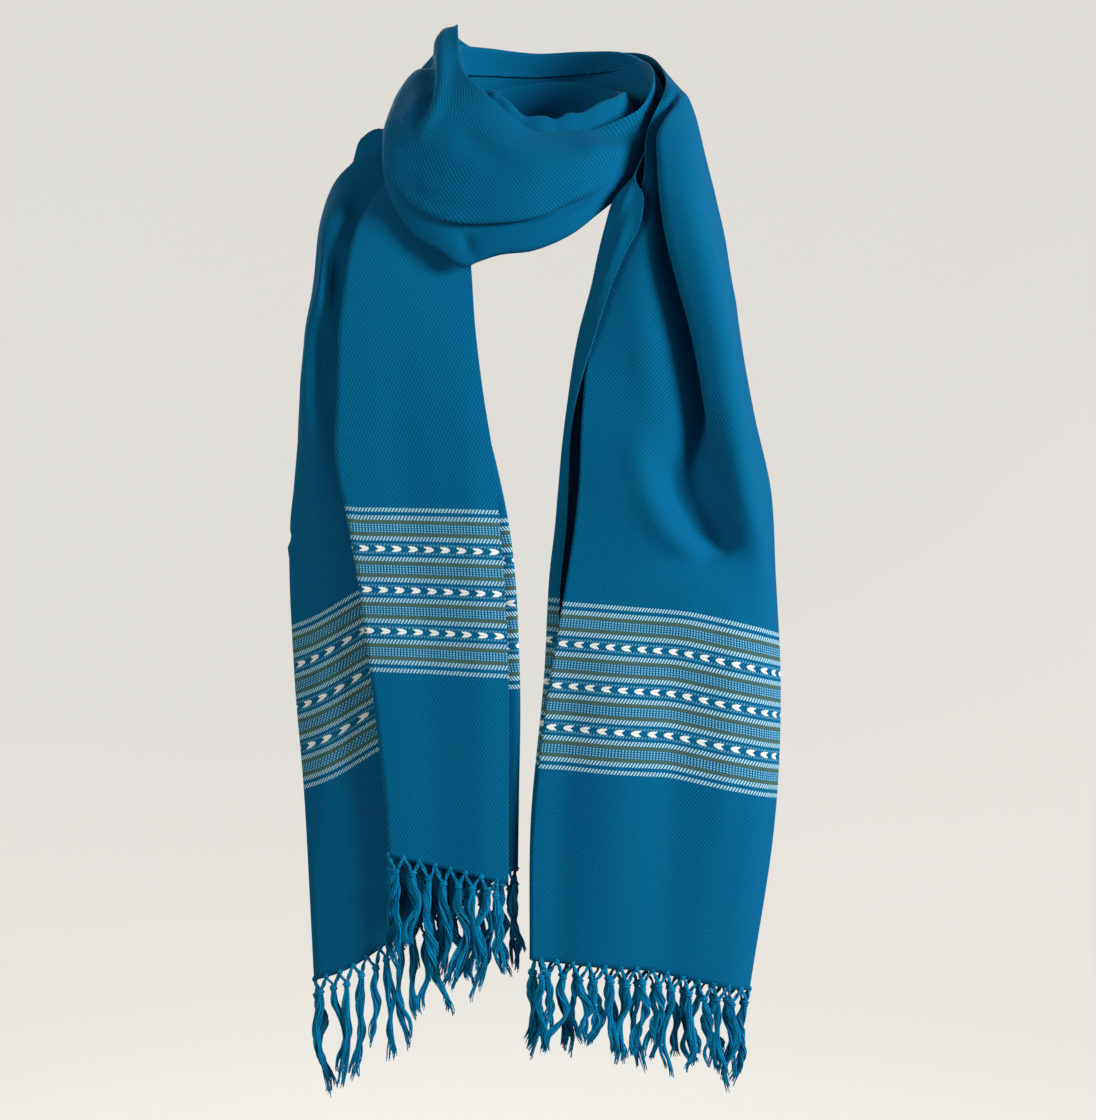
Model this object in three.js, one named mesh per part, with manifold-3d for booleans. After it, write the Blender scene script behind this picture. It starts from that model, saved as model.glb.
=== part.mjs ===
// A woven stole as it is worn: one long cloth, wound once round the neck, with both ends
// hanging in front. Millimetres, +Z up, +Y to the back of the wearer. The origin is the
// middle of the neck opening, at the height where the loop crosses the throat.
//
// The cloth is one ribbon that runs from the left hem, up over the left shoulder, behind the
// neck, round the right side, across the throat, behind the neck a second time and down to
// the right hem. Each row of the tables below is one section across the ribbon, read from
// the edge nearest the neck: an outer layer (edge, upper, lip, tuck, crown, fold), a layer
// that turns back behind it (mid, top) and a third that turns forward again (under, end).

import * as THREE from 'three';
import { mergeVertices } from 'three/addons/utils/BufferGeometryUtils.js';
import Module from 'manifold-3d';

const wasm = await Module();
wasm.setup();

// Driving dimensions
const WALL = 1.6;              // cloth wall, woven wool as a solid
const SEAM_GAP = 0.3;          // space between neighbouring stretches
const SEAM_SHARE = 0.5;        // shortest spacing of two rows, as a share of their mean spacing
const LAYER_GAP = 7;           // spacing of the folded layers in the hanging tails
const NAPE_GAP = 4.6;          // spacing of the layers where they are drawn tight at the neck
const PANEL_BOW = 2;           // how far the front panel of the left tail rounds out
const STRIP_TURN = 5.5;        // depth of the turned-in strip at the right tail's inner side
const SIDE_RETURN = [-6, 8, 0]; // step from the right tail's outer fold to the layer behind
const SHOULDER_HEIGHT = -60;   // above this the tails begin to lie back on the shoulders,
const SHOULDER_DEPTH = 90;     // and their face points forward this far from the middle
const SOFT_BEND = 400;         // longest fillet, so that gentle knots become one curve
const CREASE_BEND = 7;         // fillet at a pressed or hanging fold

const FRINGE_PITCH = 12.6;     // distance between tassels along the hem
const BACKING_HEIGHT = 4;      // strip of knots below the hem
const BACKING_WALL = 2.2;
const TASSEL_BITE = 2;         // how far a tassel's root runs into the strip
const TASSEL_WIDTH = 3.1;      // half width along the hem, at the knot
const TASSEL_DEPTH = 2.1;      // half depth through the cloth, at the knot
const LEFT_FRINGE_LENGTH = 78;
const RIGHT_FRINGE_LENGTH = 68;
const LENGTH_SPREAD = 0.12;    // uneven tassel lengths, as a share
const SWAY_WAVE = 3;           // sideways swing of the tips, in a wave along the hem
const SWAY_WAVE_STEP = 0.9;
const SWAY_SPREAD = 1.4;       // and from one tassel to the next

const CLOTH = new THREE.MeshStandardMaterial({ color: '#0d6288', roughness: 0.85, metalness: 0 });
const YARN = new THREE.MeshStandardMaterial({ color: '#0b6f96', roughness: 0.9, metalness: 0 });

// Left tail, hem to shoulder. Points are [x, y, z].
//   edge: neck-side selvedge of the front panel.   fold: its outer fold.
//   back: the fold where the hidden layer turns outwards again.
//   groove, ridge, side, end: the outer layer, from under the front panel to its selvedge.
const LEFT_TAIL = [
  { edge: [-20, -108, -600], fold: [-114, -106, -578], back: [-14, -100, -591],
    groove: [-110, -91, -646], ridge: [-148, -88, -673], side: [-178, -80, -683], end: [-172, -70, -683] },
  { edge: [-20, -109, -534], fold: [-117, -107, -534], back: [-13, -101, -534],
    groove: [-116, -92, -540], ridge: [-148, -89, -545], side: [-186, -76, -548], end: [-180, -66, -548] },
  { edge: [-20, -110, -436], fold: [-128, -109, -436], back: [-12, -102, -436],
    groove: [-126, -93, -438], ridge: [-155, -90, -440], side: [-195, -72, -440], end: [-189, -60, -440] },
  { edge: [-27, -112, -315], fold: [-146, -111, -315], back: [-21, -104, -315],
    groove: [-150, -94, -315], ridge: [-168, -93, -315], side: [-198, -70, -315], end: [-193, -56, -315] },
  { edge: [-32, -110, -264], fold: [-156, -110, -264], back: [-32, -102, -264],
    groove: [-160, -92, -264], ridge: [-176, -97, -264], side: [-193, -71, -264], end: [-185, -55, -264] },
  { edge: [-39, -108, -221], fold: [-155, -108, -221], back: [-44, -101, -221],
    groove: [-170, -89, -221], ridge: [-182, -99, -221], side: [-190, -72, -221], end: [-181, -54, -221] },
  { edge: [-46, -101, -166], fold: [-153.5, -103, -166], back: [-52, -94, -166],
    groove: [-163, -82, -166], ridge: [-176, -96, -166], side: [-190, -66, -166], end: [-178, -48, -166] },
  { edge: [-50, -90, -113], fold: [-148, -93, -112], back: [-56, -83, -113],
    groove: [-157, -73, -114], ridge: [-170, -86, -113], side: [-182, -52, -113], end: [-170, -36, -113] },
  { edge: [-54, -74, -70], fold: [-142, -80, -80], back: [-60, -68, -74],
    groove: [-154, -60, -82], ridge: [-166, -66, -74], side: [-178, -34, -68], end: [-168, -22, -76] },
  { edge: [-57, -56, -34], fold: [-131, -58, -52], back: [-62, -52, -42],
    groove: [-138, -42, -56], ridge: [-154, -38, -42], side: [-168, -14, -28], end: [-165, -2, -38] },
  { edge: [-63, -32, 6], fold: [-110, -30, -12], back: [-65, -28, -4],
    groove: [-118, -20, -20], ridge: [-132, -16, -14], side: [-146, -10, -2], end: [-154, -8, -14] },
];

// Round the neck. Points are [radius, height]; turn is the angle in degrees from the left
// side, counted through the back of the neck (90), the right side (180) and the throat (270).
const NAPE_INNER = [
  { turn: 0, edge: [72, 40], fold: [103, 18], back: [67, 25], groove: [92, 7], ridge: [108, 7],
    side: [132, 20], end: [143, 11] },
  { turn: 30, edge: [79, 55], fold: [98, 16], back: [70, 47], groove: [82, 20], ridge: [92, 6],
    side: [108, 4], end: [118, -5] },
  { turn: 60, edge: [82, 69], fold: [91, 6], back: [70, 68], groove: [75, 32], ridge: [79, 12],
    side: [88, -6], end: [90, -14] },
  { turn: 90, edge: [83, 76], fold: [88, 2], back: [70, 76], groove: [73, 42], ridge: [75, 22],
    side: [80, -4], end: [80, -10] },
  { turn: 120, edge: [83, 79], fold: [88, 2], back: [70, 74], groove: [73, 44], ridge: [75, 24],
    side: [79, 2], end: [79, -4] },
  { turn: 150, edge: [86, 80], fold: [91, 0], back: [71, 62], groove: [74, 36], ridge: [76, 22],
    side: [79, 6], end: [79, 0] },
];

// The loop across the throat. lip is where the upper drape overhangs the lower one, tuck is
// the hollow under it, hem the bottom fold, inner a point of the turned-back layer behind,
// top the fold that lies against the neck, and end the hidden selvedge.
const NECK_LOOP = [
  { turn: 180, edge: [94, 75], upper: [97, 52], lip: [98, 30], tuck: [98, 18], crown: [97, 8],
    hem: [96, -6], inner: [86, 22], top: [72, 47], end: [75, 12] },
  { turn: 198, edge: [104, 54], upper: [105, 36], lip: [105, 18], tuck: [104, 10], crown: [103, 3],
    hem: [102, -12], inner: [92, 14], top: [75, 41], end: [77, 2] },
  { turn: 212, edge: [104, 24], upper: [107, 10], lip: [108, -5], tuck: [107, -10], crown: [106, -15],
    hem: [105, -26], inner: [94, 0], top: [77, 33], end: [80, -14] },
  { turn: 226, edge: [95, 8], upper: [107, -10], lip: [109.5, -28], tuck: [109, -34], crown: [108, -40],
    hem: [106, -49], inner: [92, -14], top: [72, 21], end: [78, -26] },
  { turn: 240, edge: [88, -1], upper: [110, -22], lip: [112.5, -46], tuck: [111, -52], crown: [110.5, -58],
    hem: [107.5, -68], inner: [92, -24], top: [67, 12], end: [78, -38] },
  { turn: 255, edge: [83, -5], upper: [112, -34], lip: [114, -66], tuck: [109.5, -68], crown: [110.5, -77],
    hem: [108, -89], inner: [92, -38], top: [65, 9], end: [77, -52] },
  { turn: 270, edge: [80, -3], upper: [113, -34], lip: [116, -80], tuck: [108, -76], crown: [111, -90],
    hem: [108, -101], inner: [94, -44], top: [64, 9], end: [76, -50] },
  { turn: 285, edge: [80, 12], upper: [114, -32], lip: [119, -84], tuck: [111, -80], crown: [115, -94],
    hem: [113, -105], inner: [96, -34], top: [64, 19], end: [74, -28] },
  { turn: 293, edge: [80, 22], upper: [115, -29], lip: [122, -84], tuck: [114, -80], crown: [118, -96],
    hem: [117, -110], inner: [100, -30], top: [64, 25], end: [73, -14] },
  { turn: 298.5, edge: [80, 29], upper: [116, -26], lip: [126, -83], tuck: [118, -79], crown: [122, -97],
    hem: [121.5, -114], inner: [104, -24], top: [64, 32], end: [73, -2] },
  { turn: 304, edge: [79, 36], upper: [117, -20], lip: [130, -80], tuck: [122, -76], crown: [127, -91],
    hem: [126, -104], inner: [106, -18], top: [64, 33], end: [73, 2] },
  { turn: 314, edge: [77, 47], upper: [118, -4], lip: [136, -68], tuck: [129, -64], crown: [134, -76],
    hem: [134, -89], inner: [108, -6], top: [64, 39], end: [72, 12] },
  { turn: 326, edge: [73, 62], upper: [115, 20], lip: [140, -38], tuck: [135, -35], crown: [139, -44],
    hem: [139, -57], inner: [106, 8], top: [63.5, 48], end: [71, 24] },
  { turn: 342, edge: [67, 89], upper: [92, 61], lip: [125, 16], tuck: [128, 4], crown: [129, -2],
    hem: [127, -12], inner: [95, 26], top: [63, 66], end: [69, 44] },
  { turn: 360, edge: [65, 106], upper: [82, 86], lip: [107, 61], tuck: [116, 48], crown: [119, 39],
    hem: [116, 31], inner: [90, 48], top: [62, 83], end: [69, 58] },
];

// Behind the neck again, outside the first stretch.
const NAPE_OUTER = [
  { turn: 390, edge: [81, 110], upper: [95, 90], lip: [110, 68], tuck: [116, 54], crown: [117, 44],
    hem: [114, 32], inner: [98, 62], top: [73, 98], end: [80, 74] },
  { turn: 420, edge: [96, 108], upper: [103, 88], lip: [110, 56], tuck: [112, 38], crown: [112, 22],
    hem: [109, 4], inner: [100, 56], top: [82, 106], end: [88, 84] },
  { turn: 450, edge: [98, 107], upper: [104, 86], lip: [109, 54], tuck: [110, 34], crown: [110, 16],
    hem: [107, -8], inner: [99, 52], top: [84, 105], end: [89, 86] },
  { turn: 480, edge: [99, 106], upper: [106, 86], lip: [112, 56], tuck: [114, 36], crown: [114, 18],
    hem: [111, -10], inner: [101, 52], top: [85, 104], end: [90, 86] },
  { turn: 510, edge: [105, 97], upper: [113, 84], lip: [121, 64], tuck: [127, 46], crown: [130, 26],
    hem: [129, -8], inner: [112, 50], top: [92, 94], end: [97, 80] },
  { turn: 540, edge: [108, 68], upper: [115, 61], lip: [121, 53], tuck: [128, 42], crown: [134, 26],
    hem: [143, -20], inner: [121, 22], top: [102, 55], end: [101, 42] },
];

// Right tail, shoulder to hem. Points are [x, y, z].
//   edge: neck-side edge of the front panel.
//   panel, floor: its crest, and the bottom of the groove beside the roll.
//   lip, crown: left lip and crest of the roll.   side: outer fold.
//   mid, strip, curl: the layer behind, its inner fold, and its selvedge, turned over the panel.
const RIGHT_TAIL = [
  { edge: [107, -44, 40], panel: [111, -48, 38], floor: [116, -46, 35], lip: [121, -53, 32],
    crown: [131, -44, 18], side: [149, -18, -36], mid: [128, -24, -12], strip: [106, -34, 14],
    curl: [101, -48, 8] },
  { edge: [90, -76, -6], panel: [97, -71, -8], floor: [113, -58, -13], lip: [96, -93, -9],
    crown: [126, -93, -16], side: [155, -40, -70], mid: [119, -42, -52], strip: [90, -64, -24],
    curl: [86, -79, -24] },
  { edge: [88, -87, -34], panel: [96, -83, -34], floor: [113, -65, -38], lip: [96, -104, -34],
    crown: [128, -108, -40], side: [158, -48, -90], mid: [118, -50, -72], strip: [78, -86, -44],
    curl: [80, -98, -45] },
  { edge: [84, -97, -56], panel: [94, -96, -57], floor: [112, -72, -60], lip: [97, -112, -58],
    crown: [129, -119, -64], side: [160, -54, -108], mid: [116, -56, -92], strip: [64, -94, -62],
    curl: [86, -108, -61] },
  { edge: [78, -101, -80], panel: [92, -104, -82], floor: [112, -77, -84], lip: [100, -115, -82],
    crown: [134, -124, -86], side: [162, -58, -124], mid: [114, -61, -110], strip: [57, -92, -84],
    curl: [83, -109, -84] },
  { edge: [67, -102, -104], panel: [90, -108, -104], floor: [114, -80, -104], lip: [104, -118, -104],
    crown: [139, -128, -106], side: [164, -61, -138], mid: [112, -64, -126], strip: [52, -93, -104],
    curl: [73, -110, -104] },
  { edge: [57, -102, -132], panel: [93, -111, -132], floor: [120, -82, -132], lip: [111, -119, -132],
    crown: [144, -129, -132], side: [166, -64, -158], mid: [110, -65, -148], strip: [46, -94, -132],
    curl: [61, -110, -132] },
  { edge: [46, -102, -166], panel: [99, -113, -166], floor: [128, -83, -166], lip: [120, -120, -166],
    crown: [150, -130, -166], side: [169, -66, -182], mid: [106, -66, -176], strip: [36, -93, -166],
    curl: [49, -110, -166] },
  { edge: [38, -107, -228], panel: [108, -114, -228], floor: [140, -86, -228], lip: [131, -119, -228],
    crown: [158, -129, -228], side: [178, -68, -232], mid: [104, -70, -230], strip: [25, -93, -228],
    curl: [31, -105, -228] },
  { edge: [35, -109, -292], panel: [88, -118, -292], floor: [128, -91, -292], lip: [144, -105, -292],
    crown: [168, -120, -292], side: [191, -70, -292], mid: [104, -74, -292], strip: [19, -93, -292],
    curl: [27, -102, -292] },
  { edge: [31, -110, -326], panel: [106, -117, -330], floor: [144, -99, -332], lip: [158, -107, -330],
    crown: [177, -113, -328], side: [193, -71, -326], mid: [104, -78, -326], strip: [16, -94, -326],
    curl: [25, -102, -326] },
  { edge: [27, -110, -352], panel: [84, -114, -352], floor: [132, -110, -354], lip: [160, -107, -354],
    crown: [181, -104, -352], side: [194, -72, -352], mid: [104, -82, -352], strip: [13, -94, -352],
    curl: [22, -102, -352] },
  { edge: [13, -111, -436], panel: [57, -115, -438], floor: [110, -110, -440], lip: [150, -107, -442],
    crown: [184, -100, -444], side: [198, -74, -444], mid: [104, -85, -440], strip: [8, -97, -436],
    curl: [18, -104, -436] },
  { edge: [-1, -111, -560], panel: [46, -115, -563], floor: [104, -110, -566], lip: [142, -107, -570],
    crown: [176, -100, -572], side: [192, -78, -572], mid: [94, -88, -566], strip: [-3, -97, -560],
    curl: [8, -104, -560] },
  { edge: [-2, -109, -665], panel: [39, -112, -669], floor: [88, -108, -673], lip: [124, -105, -682],
    crown: [156, -99, -690], side: [172, -84, -694], mid: [84, -90, -675], strip: [-4, -96, -666],
    curl: [8, -102.5, -667] },
];

const mix = (a, b, share) => a.clone().lerp(b, share);
const at = (point) => new THREE.Vector3(...point);

// Direction out of the cloth's face at a tail row, from its front layer's width.
function outOfFace(inner, outer) {
  const across = outer.clone().sub(inner);
  const up = new THREE.Vector3(0, 0, 1);
  const front = new THREE.Vector3(0, -1, 0);
  const forward = THREE.MathUtils.clamp(-inner.y / SHOULDER_DEPTH, 0, 1);
  const lifted = inner.z > SHOULDER_HEIGHT ? up.lerp(front, forward) : front;
  return lifted.addScaledVector(across, -lifted.dot(across) / across.lengthSq()).normalize();
}

// Fourteen knots of a section of the left tail: a panel, its return and the outer layer.
function leftTailKnots(row) {
  const [edge, fold, back] = [at(row.edge), at(row.fold), at(row.back)];
  const face = outOfFace(edge, fold);
  const bow = (share) => mix(edge, fold, share).addScaledVector(face, PANEL_BOW * 4 * share * (1 - share));
  const foldIn = fold.clone().addScaledVector(face, -LAYER_GAP);
  const backIn = back.clone().addScaledVector(face, -LAYER_GAP);
  return [edge, bow(0.2), bow(0.4), bow(0.6), bow(0.8), fold, foldIn, mix(foldIn, back, 0.5), back,
    backIn, at(row.groove), at(row.ridge), at(row.side), at(row.end)];
}

// A [radius, height] pair at a turn round the neck.
function aroundNeck([radius, height], turn) {
  const angle = THREE.MathUtils.degToRad(turn);
  return new THREE.Vector3(-radius * Math.cos(angle), radius * Math.sin(angle), height);
}

// A [radius, height] pair moved off a layer that runs from upper to lower, away from the neck.
function besideLayer(pair, upper, lower, distance) {
  const [run, drop] = [lower[0] - upper[0], upper[1] - lower[1]];
  const scale = distance / Math.hypot(run, drop);
  return [pair[0] + drop * scale, pair[1] + run * scale];
}

// The same knots where the folded left tail runs behind the neck.
function napeInnerKnots(row) {
  const [edge, fold, back] = [row.edge, row.fold, row.back];
  const along = (share) => [edge[0] + (fold[0] - edge[0]) * share, edge[1] + (fold[1] - edge[1]) * share];
  const foldIn = besideLayer(fold, edge, fold, -NAPE_GAP);
  const backOut = besideLayer(back, edge, fold, NAPE_GAP);
  const mid = [(foldIn[0] + backOut[0]) / 2, (foldIn[1] + backOut[1]) / 2];
  const flat = [edge, along(0.2), along(0.4), along(0.6), along(0.8), fold, foldIn, mid, backOut, back,
    row.groove, row.ridge, row.side, row.end];
  return flat.map((pair) => aroundNeck(pair, row.turn));
}

// Knots of a section of the loop or of the outer stretch behind the neck.
function loopKnots(row) {
  const topOut = besideLayer(row.top, row.top, row.hem, NAPE_GAP);
  const hemIn = besideLayer(row.hem, row.top, row.hem, -NAPE_GAP);
  const under = (share) => [row.top[0] + (row.end[0] - row.top[0]) * share,
    row.top[1] + (row.end[1] - row.top[1]) * share];
  const flat = [row.edge, row.upper, row.lip, row.tuck, row.crown, row.hem, hemIn, row.inner, topOut,
    row.top, under(0.3), under(0.55), under(0.8), row.end];
  return flat.map((pair) => aroundNeck(pair, row.turn));
}

// Knots of a section of the right tail: a panel, a groove, a roll and the layer behind.
function rightTailKnots(row) {
  const [edge, panel, floor] = [row.edge, row.panel, row.floor].map(at);
  const [lip, crown, side] = [row.lip, row.crown, row.side].map(at);
  const [behind, strip, curl] = [row.mid, row.strip, row.curl].map(at);
  const sideIn = side.clone().add(at(SIDE_RETURN));
  const stripIn = strip.clone().add(new THREE.Vector3(0, -STRIP_TURN, 0));
  return [edge, panel, floor, lip, crown, side, sideIn, behind, strip, stripIn,
    mix(stripIn, curl, 0.3), mix(stripIn, curl, 0.55), mix(stripIn, curl, 0.8), curl];
}

const ROWS = [
  ...LEFT_TAIL.map(leftTailKnots),
  ...NAPE_INNER.map(napeInnerKnots),
  ...NECK_LOOP.map(loopKnots),
  ...NAPE_OUTER.map(loopKnots),
  ...RIGHT_TAIL.map(rightTailKnots),
];

// Each knot of a section is rounded off: creases tightly, the others into one soft curve.
const KNOT_BENDS = [
  SOFT_BEND, SOFT_BEND, CREASE_BEND, CREASE_BEND, SOFT_BEND, CREASE_BEND, CREASE_BEND,
  SOFT_BEND, CREASE_BEND, CREASE_BEND, SOFT_BEND, SOFT_BEND, SOFT_BEND, SOFT_BEND,
];
const SOFT_SAMPLES = [0.25, 0.75];
const CREASE_SAMPLES = [0.15, 0.85];

// Points across one section, from its fourteen knots.
function sectionPoints(knots) {
  const points = [knots[0].clone()];
  for (let k = 1; k < knots.length - 1; k += 1) {
    const before = knots[k - 1].clone().sub(knots[k]);
    const after = knots[k + 1].clone().sub(knots[k]);
    const bend = Math.min(KNOT_BENDS[k], before.length() / 2, after.length() / 2);
    const start = knots[k].clone().addScaledVector(before.normalize(), bend);
    const finish = knots[k].clone().addScaledVector(after.normalize(), bend);
    const arc = new THREE.QuadraticBezierCurve3(start, knots[k], finish);
    const samples = KNOT_BENDS[k] === SOFT_BEND ? SOFT_SAMPLES : CREASE_SAMPLES;
    samples.forEach((share) => points.push(arc.getPoint(share)));
  }
  points.push(knots[knots.length - 1].clone());
  return points;
}

// Mean distance between two rows, which is how far along the cloth they are apart.
function rowSpacing(a, b) {
  const total = a.reduce((sum, knot, k) => sum + knot.distanceTo(b[k]), 0);
  return total / a.length;
}

const SPACING = ROWS.slice(1).map((row, i) => rowSpacing(ROWS[i], row));

// Slope of knot k at row i, per millimetre along the cloth.
function slope(i, k) {
  const last = ROWS.length - 1;
  const ahead = i < last ? ROWS[i + 1][k].clone().sub(ROWS[i][k]).divideScalar(SPACING[i]) : null;
  const behind = i > 0 ? ROWS[i][k].clone().sub(ROWS[i - 1][k]).divideScalar(SPACING[i - 1]) : null;
  if (!ahead) return behind;
  if (!behind) return ahead;
  const share = SPACING[i - 1] / (SPACING[i - 1] + SPACING[i]);
  return behind.lerp(ahead, share);
}

// The section at a place between row i and the next one.
function sectionAt(i, share) {
  const length = SPACING[i];
  const [s2, s3] = [share * share, share * share * share];
  const knots = ROWS[i].map((knot, k) => new THREE.Vector3()
    .addScaledVector(knot, 2 * s3 - 3 * s2 + 1)
    .addScaledVector(slope(i, k), (s3 - 2 * s2 + share) * length)
    .addScaledVector(ROWS[i + 1][k], 3 * s2 - 2 * s3)
    .addScaledVector(slope(i + 1, k), (s3 - s2) * length));
  return sectionPoints(knots);
}

// A section with the cloth's direction at each of its points.
function directedSection(i, share) {
  const ahead = sectionAt(i, share + 0.02);
  const behind = sectionAt(i, share - 0.02);
  return { points: sectionAt(i, share), along: ahead.map((point, j) => point.sub(behind[j]).normalize()) };
}

// Sections of one stretch, from one row to another, held back half a seam gap at each seam.
function stretchSections(first, last, perRow) {
  const sections = [];
  for (let i = first; i < last; i += 1) {
    for (let step = 0; step < perRow; step += 1) {
      const trim = i === first && step === 0 && first > 0 ? SEAM_GAP / 2 / SEAM_SHARE / SPACING[i] : 0;
      sections.push(directedSection(i, step / perRow + trim));
    }
  }
  const trim = last < ROWS.length - 1 ? SEAM_GAP / 2 / SEAM_SHARE / SPACING[last - 1] : 0;
  sections.push(directedSection(last - 1, 1 - trim));
  return sections;
}

// Unit normal of the cloth's outer face at point j of a section.
function faceNormal({ points, along }, j) {
  const across = new THREE.Vector3();
  if (j > 0) across.add(points[j].clone().sub(points[j - 1]).normalize());
  if (j < points.length - 1) across.add(points[j + 1].clone().sub(points[j]).normalize());
  return along[j].clone().cross(across).normalize();
}

// A closed wall of even thickness about a list of sections.
function wall(sections, thickness) {
  const rows = sections.length;
  const columns = sections[0].points.length;
  const positions = [];
  [0.5, -0.5].forEach((side) => sections.forEach((section) => section.points.forEach((point, j) => {
    const lifted = point.clone().addScaledVector(faceNormal(section, j), side * thickness);
    positions.push(lifted.x, lifted.y, lifted.z);
  })));
  const outer = (i, j) => i * columns + j;
  const inner = (i, j) => rows * columns + i * columns + j;
  const indices = [];
  const quad = (a, b, c, d) => indices.push(a, b, c, a, c, d);
  for (let i = 0; i < rows - 1; i += 1) {
    for (let j = 0; j < columns - 1; j += 1) {
      quad(outer(i, j), outer(i + 1, j), outer(i + 1, j + 1), outer(i, j + 1));
      quad(inner(i, j), inner(i, j + 1), inner(i + 1, j + 1), inner(i + 1, j));
    }
    quad(outer(i, 0), inner(i, 0), inner(i + 1, 0), outer(i + 1, 0));
    quad(outer(i + 1, columns - 1), inner(i + 1, columns - 1), inner(i, columns - 1), outer(i, columns - 1));
  }
  for (let j = 0; j < columns - 1; j += 1) {
    quad(outer(0, j + 1), inner(0, j + 1), inner(0, j), outer(0, j));
    quad(outer(rows - 1, j), inner(rows - 1, j), inner(rows - 1, j + 1), outer(rows - 1, j + 1));
  }
  const geometry = new THREE.BufferGeometry();
  geometry.setAttribute('position', new THREE.Float32BufferAttribute(positions, 3));
  geometry.setIndex(indices);
  return geometry;
}

function namedMesh(name, geometry, material) {
  geometry.computeVertexNormals();
  const mesh = new THREE.Mesh(geometry, material);
  mesh.name = name;
  return mesh;
}

function stretch(name, first, last, perRow) {
  return namedMesh(name, wall(stretchSections(first, last, perRow), WALL), CLOTH);
}

// ---- Fringe ----

// Even, repeatable variation from -1 to 1.
function vary(index, seed) {
  const value = Math.sin(index * 12.9898 + seed * 78.233) * 43758.5453;
  return 2 * (value - Math.floor(value)) - 1;
}

// Places along a hem at an even pitch, each with the direction along the hem there.
function hemPlaces(hem, pitch) {
  const lengths = [0];
  hem.slice(1).forEach((point, i) => lengths.push(lengths[i] + point.distanceTo(hem[i])));
  const total = lengths[lengths.length - 1];
  const count = Math.floor(total / pitch);
  const first = (total - (count - 1) * pitch) / 2;
  return Array.from({ length: count }, (_, n) => {
    const target = first + n * pitch;
    const i = Math.max(1, lengths.findIndex((length) => length > target)) - 1;
    const share = (target - lengths[i]) / (lengths[i + 1] - lengths[i]);
    return { root: mix(hem[i], hem[i + 1], share), along: hem[i + 1].clone().sub(hem[i]).normalize() };
  });
}

// Rings of a tassel from root to tip: [share of length, share of full width, share of sway].
const TASSEL_RINGS = [[0, 0.75, 0], [0.14, 1, 0], [0.55, 0.8, 0.5], [1, 0.4, 1]];

const TASSEL_CORNERS = [[1, -0.6], [0, 1], [-1, -0.6]];

function tassel(place, length, sway) {
  const down = new THREE.Vector3(0, 0, -1);
  const along = place.along.clone().setZ(0).normalize();
  const out = new THREE.Vector3().crossVectors(along, down);
  const positions = [];
  TASSEL_RINGS.forEach(([share, width, swing]) => {
    const centre = place.root.clone().addScaledVector(down, share * length);
    centre.x += sway * swing;
    TASSEL_CORNERS.forEach(([a, b]) => {
      const corner = centre.clone()
        .addScaledVector(along, a * width * TASSEL_WIDTH)
        .addScaledVector(out, b * width * TASSEL_DEPTH);
      positions.push(corner.x, corner.y, corner.z);
    });
  });
  const sides = TASSEL_CORNERS.length;
  const indices = [0, 1, 2];
  for (let ring = 0; ring < TASSEL_RINGS.length - 1; ring += 1) {
    for (let corner = 0; corner < sides; corner += 1) {
      const a = ring * sides + corner;
      const b = ring * sides + (corner + 1) % sides;
      indices.push(a, a + sides, b + sides, a, b + sides, b);
    }
  }
  const end = (TASSEL_RINGS.length - 1) * sides;
  indices.push(end, end + 2, end + 1);
  const geometry = new THREE.BufferGeometry();
  geometry.setAttribute('position', new THREE.Float32BufferAttribute(positions, 3));
  geometry.setIndex(indices);
  return geometry;
}

// A three.js geometry as a manifold solid, turned the right way out, and back again.
function solid(geometry) {
  const bare = geometry.clone();
  bare.deleteAttribute('normal');
  bare.deleteAttribute('uv');
  const merged = mergeVertices(bare, 1e-4);
  const vertProperties = new Float32Array(merged.attributes.position.array);
  const triVerts = new Uint32Array(merged.index.array);
  const made = new wasm.Manifold(new wasm.Mesh({ numProp: 3, vertProperties, triVerts }));
  if (made.volume() > 0) return made;
  return new wasm.Manifold(new wasm.Mesh({ numProp: 3, vertProperties, triVerts: triVerts.reverse() }));
}

function geometryOf(manifold) {
  const mesh = manifold.getMesh();
  const geometry = new THREE.BufferGeometry();
  geometry.setAttribute('position', new THREE.Float32BufferAttribute(mesh.vertProperties, 3));
  geometry.setIndex(Array.from(mesh.triVerts));
  return geometry;
}

// The fringe below a hem: a strip that follows the hem, with a tassel at each pitch.
function fringe(name, hem, turned, fullLength, seed) {
  const below = (distance) => hem.points.map((point, j) => (
    point.clone().addScaledVector(hem.along[j], turned * distance)));
  const backing = [SEAM_GAP, SEAM_GAP + BACKING_HEIGHT].map((distance) => (
    { points: below(distance), along: hem.along }));
  let body = solid(wall(backing, BACKING_WALL));
  hemPlaces(below(SEAM_GAP + BACKING_HEIGHT - TASSEL_BITE), FRINGE_PITCH).forEach((place, n) => {
    const length = fullLength * (1 + LENGTH_SPREAD * vary(n, seed));
    const sway = SWAY_WAVE * Math.sin(n * SWAY_WAVE_STEP + seed) + SWAY_SPREAD * vary(n, seed + 1);
    body = body.add(solid(tassel(place, length, sway)));
  });
  return namedMesh(name, geometryOf(body), YARN);
}

const firstNape = LEFT_TAIL.length;
const firstLoop = firstNape + NAPE_INNER.length;
const lastLoop = firstLoop + NECK_LOOP.length - 1;
const firstRight = lastLoop + 1 + NAPE_OUTER.length;
const lastRow = ROWS.length - 1;

const stole = new THREE.Group();
stole.add(
  stretch('left_tail', 0, firstNape, 2),
  stretch('nape_inner', firstNape, firstLoop, 2),
  stretch('neck_loop', firstLoop, lastLoop, 2),
  stretch('nape_outer', lastLoop, firstRight, 2),
  stretch('right_tail', firstRight, lastRow, 2),
  fringe('fringe_left', directedSection(0, 0), -1, LEFT_FRINGE_LENGTH, 1),
  fringe('fringe_right', directedSection(lastRow - 1, 1), 1, RIGHT_FRINGE_LENGTH, 2),
);

export default stole;
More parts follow.
